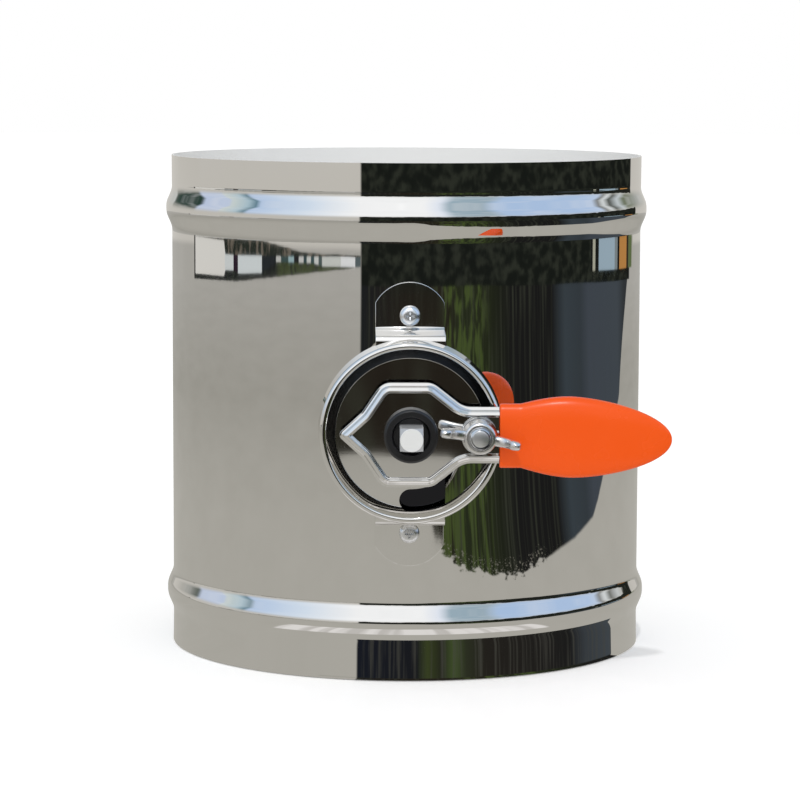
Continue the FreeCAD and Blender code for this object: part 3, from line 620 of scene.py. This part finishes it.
def inset_loop(corners, radii, inset, steps=10, hold=0.2):
    """A closed clockwise outline moved inwards: corners go along the mitre of their two sides, and an
    outer bend's radius shrinks by the inset while an inner bend's grows, as in a pressed pan."""
    runs = np.roll(corners, -1, axis=0) - corners
    runs /= np.linalg.norm(runs, axis=1)[:, None]
    inward = np.stack([runs[:, 1], -runs[:, 0]], axis=1)
    before = np.roll(inward, 1, axis=0)
    mitre = (before + inward) / ((before + inward) * inward).sum(axis=1)[:, None]
    moved = corners + inset * mitre
    previous = np.roll(runs, 1, axis=0)
    turn = np.sign(previous[:, 0] * runs[:, 1] - previous[:, 1] * runs[:, 0])
    bends = np.maximum(radii + turn * inset, least_bend)
    open_path = np.concatenate([moved[-1:], moved, moved[:1]])
    rounded = bent_path(open_path, bends, steps, hold)[1:-1]
    return np.concatenate([rounded, rounded[:1]])


def pan(corners, radii, section):
    """A pan from a section of (inset, level) points carried round an outline: each point of the section
    is one inset loop at its level."""
    loops = [inset_loop(corners, radii, inset) for inset, level in section]
    return np.stack([np.column_stack([loop, np.full(len(loop), level)])
                     for loop, (inset, level) in zip(loops, section)])


def cap(ring):
    """A flat cover fanned from a ring of points to a middle on the axis."""
    middle = ring.mean(axis=0)
    middle[:2] = 0.0
    return np.stack([ring, np.broadcast_to(middle, ring.shape)])


# The section across the rim, as inset and level: up the outer wall, over the crown and down to the floor,
# then back along the under face with the hollow below the crown.
lever_top = bent_path([
    (0.0, lever_back), (0.0, lever_back + 0.8), (1.3, lever_back + 1.0), (1.65, lever_back + 3.2),
    (3.25, lever_front), (lever_rim, lever_floor), (lever_rim + lever_overlap, lever_floor),
], [0.15, 1.05, 0.6, 0.5, 0.3], 8, 0.03)
lever_under = bent_path([
    (lever_rim + lever_overlap, lever_back), (lever_rim - lever_gauge, lever_back),
    (lever_rim - lever_gauge, lever_back + lever_hollow), (2.2, lever_back + lever_hollow),
    (lever_gauge, lever_back), (0.0, lever_back),
], [0.8, 0.05, 0.05, 0.05], 6, 0.02)
lever_section = np.concatenate([lever_top[::-1], lever_under[::-1]])
lever_skin = pan(lever_corners, lever_radii, lever_section)
lever_grids = [lever_skin, cap(lever_skin[0]), cap(lever_skin[-1])]
piece("lever_pan", [at_shaft(grid) for grid in lever_grids], "rotor", ["lever"],
      mirror_steel)

# Grip. A leaf-shaped sleeve moulded in glossy orange vinyl and pushed over the lever's neck and tang.
grip_start = 34.3
grip_neck_end = 42.5
grip_belly = 62.0
grip_end = 101.3
grip_droop = 1.5
grip_neck_half = 12.5
grip_belly_half = 15.8
grip_neck_thick = 3.85
grip_belly_thick = 5.05
grip_middle = 136.15
grip_edge = 3.2
grip_taper = 1.6
grip_thinning = 2.0
mouth_half = 11.1
mouth_thick = 2.35
mouth_edge = 8.0

orange_vinyl, vinyl_tree, vinyl_shader = plain_finish("orange vinyl", (0.88, 0.09, 0.002), 0.0, 0.28)
vinyl_place = add_node(vinyl_tree, "TexCoord", {}).outputs["Object"]
mottle = add_node(vinyl_tree, "TexNoise", {"Vector": vinyl_place, "Scale": 70}).outputs["Fac"]
vinyl_tones = {"Factor": mottle, "A": (0.865, 0.088, 0.001), "B": (0.885, 0.095, 0.002)}
vinyl_tone = add_node(vinyl_tree, "Mix", vinyl_tones, data_type="RGBA")
vinyl_gloss = add_node(vinyl_tree, "MapRange", {"Value": mottle, "To Min": 0.25, "To Max": 0.29})
feed(vinyl_shader, {"Base Color": vinyl_tone.outputs["Result"], "Specular IOR Level": 0.28,
                    "Roughness": vinyl_gloss.outputs["Result"]})
add_grain(vinyl_tree, vinyl_shader, 420, 0.03)


def leaf(x, neck, belly, power):
    """A half size of the grip at x: the neck's, then a sine rise to the belly's, then the belly's times
    the root of 1 - t^power, t being the share of the way from belly to nose."""
    rise = np.sin(np.pi / 2 * np.clip((x - grip_neck_end) / (grip_belly - grip_neck_end), 0, 1))
    along = np.clip((x - grip_belly) / (grip_end - grip_belly), 0, 1)
    return (neck + (belly - neck) * rise) * np.sqrt(1 - along**power)


def oblong(angle, half, thick, power):
    """Points of the curve |y / half|^n + |w / thick|^n = 1 at an angle: the signed n-halves powers of its
    cosine and sine."""
    y = np.sign(np.cos(angle)) * np.abs(np.cos(angle)) ** (2 / power) * half
    w = np.sign(np.sin(angle)) * np.abs(np.sin(angle)) ** (2 / power) * thick
    return y, w


grip_angle = np.linspace(0, 2 * np.pi, 97)[:, None]
grip_x = np.concatenate([[grip_start, grip_start + 0.12, grip_start + 0.35, grip_start + 0.8],
                         np.linspace(grip_start + 2, grip_belly, 30)[:-1],
                         grip_belly + (grip_end - grip_belly) * np.sin(np.linspace(0, np.pi / 2, 60))])
# The sleeve's section is a little smaller at its open end, which rounds the edge.
edge_ease = np.ones_like(grip_x)
edge_ease[:3] = (0.955, 0.985, 0.997)
grip_half = leaf(grip_x, grip_neck_half, grip_belly_half, grip_taper) * edge_ease
grip_thick = leaf(grip_x, grip_neck_thick, grip_belly_thick, grip_thinning) * edge_ease
grip_y, grip_w = oblong(grip_angle, grip_half, grip_thick, grip_edge)
grip_fall = grip_droop * np.clip((grip_x - grip_neck_end) / (grip_end - grip_neck_end), 0, 1)
grip_skin = points_of(grip_x, grip_y - grip_fall, grip_w + grip_middle)
# The mouth is a socket for the lever's neck, closed at its end.
mouth_x = np.array([grip_start, grip_start + 0.5, grip_neck_end, grip_neck_end])
mouth_open = np.array([1, 1, 1, 0])
mouth_y, mouth_w = oblong(grip_angle, mouth_half, mouth_thick, mouth_edge)
mouth = points_of(mouth_x, mouth_y * mouth_open, mouth_w * mouth_open + grip_middle)
lip = np.stack([grip_skin[:, 0], mouth[:, 0]])
piece("grip_sleeve", [at_shaft(grid) for grid in (grip_skin, lip, mouth)], "rotor", ["grip"],
      orange_vinyl, crease=50.0)

# Hub collar. A black nylon ring pressed on the shaft in front of the lever, with a cup that frames the
# shaft's end.
collar_radius = 10.505
collar_front = 140.3
collar_edge = 0.8
cup_radius = 7.505
cup_floor_radius = 6.805
cup_floor = 137.3
collar_profile = bent_path([
    (0.0, lever_floor), (collar_radius, lever_floor), (collar_radius, collar_front - collar_edge),
    (collar_radius - collar_edge, collar_front), (cup_radius, collar_front), (cup_floor_radius, cup_floor),
    (0.0, cup_floor),
], [0.15, 0.3, 0.3, 0.3, 0.2], 4, 0.06)
piece("collar_ring", [at_shaft(turned(collar_profile, 128))], "rotor", ["hub_collar"],
      black_nylon)

# Clamp bolt. An M8 bolt with an oblong head that slides in the pan behind the dial. Its thread comes through
# the arc slot and the lever, and the wing nut's.
bolt_radius = 4.0
bolt_front = 148.9
bolt_head_back = 122.25
bolt_head_front = 126.85
bolt_head_half = 6.33
bolt_head_length_half = 8.5
bolt_thread = 0.6
bolt_pitch = 1.25
bolt_point = 0.9
bolt_face = 2.9
bolt_end = turned([(0.0, bolt_front), (bolt_face, bolt_front), (bolt_face + 0.2, bolt_front - 0.05),
                   (bolt_radius - bolt_thread, bolt_front - bolt_point), (0.0, bolt_front - bolt_point)], 96)
bolt_grids = [
    prism(rectangle(bolt_head_half, bolt_head_length_half), bolt_head_back, bolt_head_front),
    threaded(bolt_radius, bolt_thread, bolt_pitch, bolt_head_front, bolt_front - bolt_point, 0.0, 96),
    bolt_end,
]
piece("clamp_bolt_m8", [at_shaft(grid, clamp_place) for grid in bolt_grids], "rotor", ["clamp_bolt"],
      bright_zinc)

# Wing nut. Cast zinc, plated bright: a tapered boss with a rounded front, and two ears that leave its sides,
# curve outwards and rise past it. It is screwed down on the spring washer, its ears a little off level.
nut_back = 139.2
nut_front = 146.7
nut_radius = 7.0
nut_bore = 4.1
nut_straight = 1.6
nut_draft = 0.9
nut_chamfer = 0.5
wing_turned = math.radians(-10)
ear_thick = 2.2
ear_thinning = 0.15
ear_edge = 3.2
ear_round = 0.84
ear_spine = np.array([(3.2, 143.2), (9.0, 142.6), (13.2, 145.2), (14.1, 151.3)])
ear_width = np.array([3.1, 2.3, 2.6, 2.3])
cast_zinc = metal("cast zinc", ((0.88, 0.87, 0.86), (0.52, 0.51, 0.50)), 0.14, 0.6, 0.2, 1.0, 0.6)


def bezier(points, share):
    """A curve through control values by Bernstein's weights (1-t)^3, 3t(1-t)^2, 3t^2(1-t), t^3."""
    rest = 1 - share
    return np.stack([rest**3, 3 * share * rest**2, 3 * share**2 * rest, share**3], axis=1) @ points


def wing(spine, width, thick, angle):
    """An ear: ovals |p|^n + |q|^n = 1 carried along its spine, square to it, as wide as the width curve
    and thinning outwards, closed by a round end, and turned about the nut's axis by an angle."""
    share = np.concatenate([np.linspace(0, 0.8, 24), 0.8 + 0.2 * np.sin(np.linspace(0, np.pi / 2, 16))[1:]])
    middle = bezier(spine, share)
    along = np.gradient(middle, share, axis=0)
    along /= np.linalg.norm(along, axis=1)[:, None]
    closing = np.sqrt(1 - np.clip((share - ear_round) / (1 - ear_round), 0, 1)**2)
    half = bezier(width[:, None], share)[:, 0] * closing
    depth = thick * (1 - ear_thinning * share) * closing
    flat, deep = oblong(np.linspace(0, 2 * np.pi, 49)[:, None], half, depth, ear_edge)
    x = middle[:, 0] - along[:, 1] * flat
    level = middle[:, 1] + along[:, 0] * flat
    return points_of(x * math.cos(angle) - deep * math.sin(angle),
                     x * math.sin(angle) + deep * math.cos(angle), level)


nut_profile = bent_path([
    (nut_bore, nut_back), (nut_radius, nut_back), (nut_radius, nut_back + nut_straight),
    (nut_radius - nut_draft, nut_front), (nut_bore + nut_chamfer, nut_front),
    (nut_bore, nut_front - nut_chamfer), (nut_bore, nut_back),
], [0.3, 0.6, 1.2, 0.1, 0.1], 8, 0.02)
nut_grids = [turned(nut_profile, 128)]
for side in (0, math.pi):
    ear = wing(ear_spine, ear_width, ear_thick, wing_turned + side)
    nut_grids += [ear, ear[:, :1] * np.ones((1, 2, 1))]
piece("wing_nut_cast", [at_shaft(grid, clamp_place) for grid in nut_grids], "wing_nut", ["wing_nut"],
      cast_zinc)

# The set. A plain pale floor under a white surround, with a soft sun. Polished steel looks like what stands
# round it, so it mirrors a painted yard, glowing sheets that only reflections see: paving, planting to the
# right and a pale sky.
floor_half = 8.0
floor_level = -0.0004
floor_lift = 0.16
floor_corners = [(x, y, floor_level) for x, y in rectangle(floor_half, floor_half)]
floor_mesh = bpy.data.meshes.new("floor")
floor_mesh.from_pydata(floor_corners, [], [(0, 1, 2, 3)])
floor = placed("floor", floor_mesh)
floor_coat, floor_tree, floor_shader = plain_finish("pale floor", (0.93, 0.93, 0.93), 0.0, 0.9)
floor_mesh.materials.append(floor_coat)
floor_seen = add_node(floor_tree, "LightPath", {}).outputs["Is Camera Ray"]
floor_glow = add_node(floor_tree, "Math", {0: floor_seen, 1: floor_lift}, operation="MULTIPLY")
feed(floor_shader, {"Emission Color": (1.0, 1.0, 1.0), "Emission Strength": floor_glow.outputs[0]})

yard_coat = bpy.data.materials.new("mirrored yard")
yard_coat.use_nodes = True
yard_tree = yard_coat.node_tree
yard_tree.nodes.clear()


def mirrored_sheet(name, grid):
    """A piece of the set from a grid of points in millimetres that glows in the yard's painted colours, a
    painted
    reflection: neither the camera nor the light sees it, only reflections."""
    mesh = bpy.data.meshes.new(name)
    points = grid.reshape(-1, 3) * millimetre
    mesh.from_pydata(points.tolist(), [], grid_quads(grid.shape[:2]).tolist())
    mesh.materials.append(yard_coat)
    made = placed(name, mesh)
    for kind in ("camera", "diffuse", "transmission", "volume_scatter", "shadow"):
        setattr(made, "visible_" + kind, False)
    return made


# The yard is a dome on a flat ground that glows with painted reflections, and its colours follow from
# bearing, distance and height.
yard_radius = 2200.0
yard_foot = -0.1
yard_arc = np.linspace(0, np.pi / 2, 49)
yard_profile = np.column_stack([yard_radius * np.cos(yard_arc), yard_radius * np.sin(yard_arc)])
yard_profile = np.concatenate([[(0.0, yard_foot), (yard_radius, yard_foot)], yard_profile])
yard = mirrored_sheet("mirrored_yard", turned(yard_profile, 128))
# A low kerb in front of the duct, which its lower spigot mirrors as a dark strip.
kerb_away = 104.0
kerb_levels = np.array([yard_foot, 12.0])
kerb_bearing = np.radians(np.linspace(-44, 62.5, 60) - 90)[:, None]
kerb = mirrored_sheet("mirrored_kerb", around(kerb_away, kerb_bearing, kerb_levels))


def calc(operation, *values):
    """The output of one Math node of the yard's finish over numbers or outputs."""
    return add_node(yard_tree, "Math", dict(enumerate(values)), operation=operation).outputs[0]


def times(first, second):
    """The product of two numbers or outputs."""
    return calc("MULTIPLY", first, second)


def ease(value, low, high):
    """0 below low, 1 above high, and a smooth step between: t^2 (3 - 2 t)."""
    limits = {"Value": value, "From Min": low, "From Max": high}
    return add_node(yard_tree, "MapRange", limits, interpolation_type="SMOOTHSTEP").outputs[0]


def band(value, low, high, soft):
    """1 between low and high, 0 outside, with a smooth step of the soft width at both ends."""
    return calc("SUBTRACT", ease(value, low, low + soft), ease(value, high - soft, high))


def mixed(share, first, second):
    """The first colour where the share is 0, the second where it is 1."""
    node = add_node(yard_tree, "Mix", {"Factor": share, "A": first, "B": second}, data_type="RGBA")
    return node.outputs["Result"]


def speckle(stretch, detail):
    """Noise over (bearing in radians, distance, height), scaled along each: its grey."""
    mapped = add_node(yard_tree, "Mapping", {"Vector": yard_round, "Scale": stretch}).outputs["Vector"]
    noise = add_node(yard_tree, "TexNoise", {"Vector": mapped, "Scale": 1.0, "Detail": detail})
    return noise.outputs["Fac"]


def steps_by(value, low, high, stops, way="LINEAR"):
    """A colour ramp over low to high from (place, colour) stops. A number instead of a colour is a grey."""
    node = add_node(yard_tree, "ValToRGB", {"Fac": calc("DIVIDE", calc("SUBTRACT", value, low), high - low)})
    ramp = node.color_ramp
    ramp.interpolation = way
    while len(ramp.elements) < len(stops):
        ramp.elements.new(0.5)
    for element, (place, colour) in zip(ramp.elements, stops):
        element.position = (place - low) / (high - low)
        element.color = (*(colour if isinstance(colour, tuple) else (colour,) * 3), 1.0)
    return node.outputs["Color"]


yard_place = add_node(yard_tree, "TexCoord", {}).outputs["Object"]
yard_x, yard_y, yard_z = add_node(yard_tree, "SeparateXYZ", {0: yard_place}).outputs
# The bearing round the duct in degrees, 0 at -Y and rising towards +X, the distance, and rise over distance.
radian = 57.3
bearing = calc("DEGREES", calc("ARCTAN2", yard_x, times(yard_y, -1.0)))
away = calc("SQRT", calc("ADD", times(yard_x, yard_x), times(yard_y, yard_y)))
rise = calc("DIVIDE", yard_z, calc("MAXIMUM", away, 0.01))
yard_join = add_node(yard_tree, "CombineXYZ", {0: calc("DIVIDE", bearing, radian), 1: away, 2: yard_z})
yard_round = yard_join.outputs[0]

# Paving, darker at about a metre. The planting's shade falls on it from 22.6 degrees left to 138 degrees
# right. It begins at a distance that goes by bearing, along a ragged line of soil, roots and stones.
paving = steps_by(away, 0.0, 2.2, [(0.0, (0.46, 0.448, 0.41)), (0.48, (0.445, 0.433, 0.395)),
                                   (1.1, (0.355, 0.346, 0.312)), (2.2, (0.425, 0.416, 0.39))])
paving = mixed(times(speckle((5, 9, 1), 4), 0.3), paving, (0.6, 0.585, 0.55))
ragged = calc("SUBTRACT", speckle((14, 45, 8), 5), 0.5)
edge_scale = 2.4
edge = times(edge_scale, steps_by(bearing, -30, 150, [
    (-30, 0.33), (-5, 0.33), (-1, 0.367), (2.5, 0.36), (9.7, 0.19), (15.9, 0.171), (22, 0.158),
    (30.4, 0.148), (39, 0.142), (48.2, 0.14), (61.6, 0.153), (68.7, 0.162), (80.4, 0.175), (94.2, 0.198),
    (99, 0.222), (103.4, 0.252), (113, 0.33), (123, 0.43), (131.6, 0.77), (136, 0.98), (150, 1.0)]))
fringe = calc("SUBTRACT", 0.11, times(ease(bearing, 58.0, 68.0), 0.105))
edge = calc("ADD", edge, times(ragged, fringe))
shaded = band(bearing, -22.6, 138.0, 1.2)
beyond = ease(calc("DIVIDE", away, edge), 0.985, 1.02)
ground_dark = times(shaded, beyond)

planting = steps_by(bearing, -30, 150, [
    (-30, (0.012, 0.016, 0.02)), (-1, (0.02, 0.016, 0.012)), (18, (0.02, 0.018, 0.012)),
    (25, (0.022, 0.028, 0.014)), (36, (0.02, 0.025, 0.012)), (50, 0.012), (72, 0.012),
    (80, (0.045, 0.058, 0.07)), (90, (0.04, 0.05, 0.06)), (96, (0.058, 0.07, 0.088)),
    (122, (0.06, 0.073, 0.088)), (130, (0.035, 0.04, 0.045))])
grass = times(ease(speckle((34, 3.0, 16), 4), 0.42, 0.6), band(bearing, 10.0, 40.0, 7.0))
planting = mixed(times(grass, 0.75), planting, (0.075, 0.11, 0.03))
leafy = calc("SUBTRACT", 0.7, times(ease(bearing, 66, 78), 0.6))
leafy = times(ease(speckle((46, 0.6, 3), 4), 0.45, 0.75), leafy)
planting = mixed(leafy, planting, (0.05, 0.055, 0.04))
stones = times(ease(speckle((60, 170, 1), 3), 0.56, 0.66), band(bearing, 8.0, 64.0, 4.0))
stones = times(stones, band(calc("SUBTRACT", away, edge), -0.004, 0.05, 0.01))
planting = mixed(times(stones, 0.8), planting, (0.26, 0.25, 0.21))
ground = mixed(ground_dark, paving, planting)

# A pale strip on the ground behind the kerb.
strip = times(band(away, 0.117, 0.176, 0.002), band(bearing, -41.0, 44.0, 2.0))
strip_tone = mixed(ease(speckle((9, 1, 1), 2), 0.45, 0.6), (0.86, 0.84, 0.83), (0.62, 0.6, 0.58))
ground = mixed(strip, ground, strip_tone)
before_kerb = times(calc("LESS_THAN", away, kerb_away * millimetre), band(bearing, -12.8, 62.5, 0.6))
ground = mixed(before_kerb, ground, planting)
kerb_side = times(ease(yard_z, 0.0, 0.0004), calc("LESS_THAN", away, 0.2))
kerb_shade = steps_by(bearing, -20, 70, [
    (-20, (0.01, 0.013, 0.022)), (2, (0.012, 0.013, 0.016)), (4.5, (0.045, 0.06, 0.02)),
    (8, (0.02, 0.022, 0.014)), (11, (0.06, 0.09, 0.03)), (14, (0.03, 0.035, 0.02)),
    (19, (0.02, 0.018, 0.015)), (44, 0.014), (50, (0.045, 0.053, 0.062)), (62, (0.06, 0.072, 0.085))])
kerb_stones = times(ease(speckle((60, 1, 20), 4), 0.45, 0.7), 0.6)
kerb_shade = mixed(kerb_stones, kerb_shade, (0.07, 0.07, 0.06))
kerb_tone = mixed(band(bearing, -12.8, 90.0, 0.6), paving, kerb_shade)

# The far side, by bearing and rise. On the left a row of pale walls between a dark roof line and a hedge,
# all of it low, on the right trees with a few things beside them. The sky stands above both.
trees = mixed(ease(speckle((14, 1, 80), 4), 0.42, 0.68), (0.01, 0.012, 0.01), (0.03, 0.034, 0.026))
walls = steps_by(bearing, -130, -20, [
    (-130, (0.48, 0.45, 0.41)), (-125, 0.03), (-123.8, (0.74, 0.73, 0.7)), (-97.5, (0.64, 0.68, 0.69)),
    (-91.5, (0.03, 0.018, 0.03)), (-88.5, (0.66, 0.71, 0.73)), (-73, (0.022, 0.026, 0.03)),
    (-65, (0.55, 0.56, 0.54)), (-62.5, (0.05, 0.085, 0.085)), (-58.5, (0.33, 0.47, 0.5)),
    (-55.5, (0.02, 0.02, 0.024)), (-53, (0.6, 0.61, 0.6)), (-50.5, (0.05, 0.08, 0.09)),
    (-48.5, (0.62, 0.64, 0.62)), (-46.5, (0.06, 0.1, 0.11)), (-44.5, (0.62, 0.64, 0.63)),
    (-42.5, (0.09, 0.12, 0.12)), (-41, (0.6, 0.62, 0.6)), (-32, (0.78, 0.8, 0.82)),
    (-25, (0.1, 0.13, 0.14))], "CONSTANT")
roofs = mixed(ease(speckle((30, 1, 40), 4), 0.45, 0.6), (0.025, 0.03, 0.024), (0.15, 0.13, 0.105))
hedge = mixed(ease(bearing, -66, -62), (0.018, 0.02, 0.02), (0.06, 0.075, 0.035))
hedge = mixed(ease(speckle((40, 1, 90), 4), 0.45, 0.65), hedge, (0.03, 0.036, 0.028))
row_height = 0.024


def row_line(stops):
    """A line of the distant row: its rise by bearing, from stops in shares of the row's height."""
    return times(row_height, steps_by(bearing, -130, -20, stops))


row_top = row_line([
    (-124, 0.96), (-97, 0.91), (-73, 0.88), (-60, 0.76), (-52, 0.67), (-40, 0.63), (-20, 0.61)])
wall_top = row_line([
    (-124, 0.9), (-98, 0.86), (-97, 0.57), (-73, 0.56), (-60, 0.57), (-20, 0.58)])
wall_foot = row_line([
    (-124, 0.11), (-98, 0.11), (-97, 0.24), (-90, 0.24), (-88, 0.18), (-73, 0.2), (-64, 0.45),
    (-45, 0.44), (-40, 0.37), (-20, 0.37)])
row_foot = row_line([
    (-130, 0.0), (-89, 0.02), (-73, 0.09), (-52, 0.21), (-30, 0.32), (-20, 0.4)])
wander = times(calc("SUBTRACT", speckle((26, 1, 1), 3), 0.5), 0.0012)
row_rise = calc("ADD", rise, wander)
distant = mixed(calc("GREATER_THAN", rise, wall_top), walls, roofs)
distant = mixed(calc("LESS_THAN", rise, wall_foot), distant, hedge)
in_row = times(calc("GREATER_THAN", row_rise, row_foot), calc("LESS_THAN", row_rise, row_top))
in_row = times(in_row, band(bearing, -125.0, -22.0, 0.3))
right_things = steps_by(bearing, 90, 150, [
    (90, (0.012, 0.013, 0.012)), (99.5, (0.42, 0.42, 0.34)), (101.5, (0.012, 0.013, 0.012)),
    (104.5, (0.34, 0.45, 0.54)), (119, (0.22, 0.26, 0.28)), (122, (0.012, 0.013, 0.012)),
    (124, (0.5, 0.24, 0.07)), (133, (0.04, 0.03, 0.02)), (135.5, (0.12, 0.16, 0.07)),
    (141, (0.44, 0.43, 0.39))], "CONSTANT")
sky = steps_by(bearing, -180, 180, [
    (-180, (0.6, 0.62, 0.62)), (-149, (0.55, 0.57, 0.56)), (-147, (0.03, 0.06, 0.05)),
    (-120, (0.03, 0.06, 0.05)), (-117, (0.58, 0.68, 0.9)), (-100, (0.6, 0.7, 0.9)),
    (-98, (0.68, 0.76, 0.76)), (-88, (0.46, 0.62, 0.72)), (-83, (0.16, 0.28, 0.36)),
    (-80, (0.55, 0.7, 0.95)), (-52, (0.77, 0.89, 1.05)), (-25, (1.1, 1.12, 1.15)),
    (8, (1.1, 1.12, 1.15)), (16, (0.91, 0.98, 1.12)), (22, (0.37, 0.5, 0.6)), (40, (0.36, 0.48, 0.58)),
    (47, (0.47, 0.64, 0.92)), (104, (0.5, 0.66, 0.94)), (108, (0.06, 0.07, 0.07)),
    (112, (0.8, 0.85, 0.88)), (117, (0.08, 0.09, 0.08)), (124, (0.62, 0.68, 0.72)),
    (130, (0.16, 0.19, 0.12)), (145, (0.4, 0.42, 0.4)), (180, (0.6, 0.62, 0.62))])
clouds = times(ease(speckle((3, 1, 4), 3), 0.4, 0.7), 0.25)
sky = mixed(clouds, sky, (0.95, 0.97, 1.0))
haze = mixed(ease(rise, 0.03, 0.3), (0.62, 0.6, 0.56), sky)
low = mixed(in_row, mixed(ease(rise, 0.016, 0.02), paving, haze), distant)
tree_top = calc("ADD", 0.16, times(ragged, 0.16))
high = mixed(ease(calc("SUBTRACT", rise, tree_top), -0.01, 0.01), trees, haze)
far = mixed(shaded, low, high)
beside = times(band(bearing, 98.0, 143.0, 0.2), band(rise, 0.0055, 0.0225, 0.0008))
far = mixed(beside, far, right_things)
yard_colour = mixed(ease(yard_z, 0.0, 0.0004), ground, far)
yard_colour = mixed(kerb_side, yard_colour, kerb_tone)
yard_glow = add_node(yard_tree, "Emission", {"Color": yard_colour})
add_node(yard_tree, "OutputMaterial", {"Surface": yard_glow.outputs[0]})

# The world is white to the camera and lights the object at 0.8, to which the sun adds the rest.
world = bpy.data.worlds.new("studio")
bpy.context.scene.world = world
world.use_nodes = True
world_tree = world.node_tree
world_seen = add_node(world_tree, "LightPath", {}).outputs["Is Camera Ray"]
world_level = add_node(world_tree, "MapRange", {"Value": world_seen, "To Min": 0.8})
world_light = {"Color": (1.0, 1.0, 1.0), "Strength": world_level.outputs["Result"]}
feed(world_tree.nodes["Background"], world_light)

sun = bpy.data.lights.new("sun", "SUN")
sun.energy = 0.9
sun.angle = math.radians(2)
sun_object = placed("sun", sun)
sun_object.rotation_euler = (math.radians(44), 0, math.radians(-4))

# Camera. It stands 1.34 m in front of the duct, a little to its left, and looks down on it by 6.4 degrees.
camera_distance = 1.335
camera_side = -0.00244
camera_height = 0.2527
camera_pitch = 6.419
camera_roll = 0.199
camera_round = -0.8
camera_data = bpy.data.cameras.new("camera")
camera_data.sensor_width = 36.0
camera_data.lens = 140.27
camera_data.clip_end = 50
camera = placed("camera", camera_data)
camera.matrix_world = (Matrix.Rotation(math.radians(camera_round), 4, "Z")
                       @ Matrix.Translation((camera_side, -camera_distance, camera_height))
                       @ Matrix.Rotation(math.radians(90 - camera_pitch), 4, "X")
                       @ Matrix.Rotation(math.radians(camera_roll), 4, "Z"))
bpy.context.scene.camera = camera
bpy.context.scene.view_settings.view_transform = "Standard"
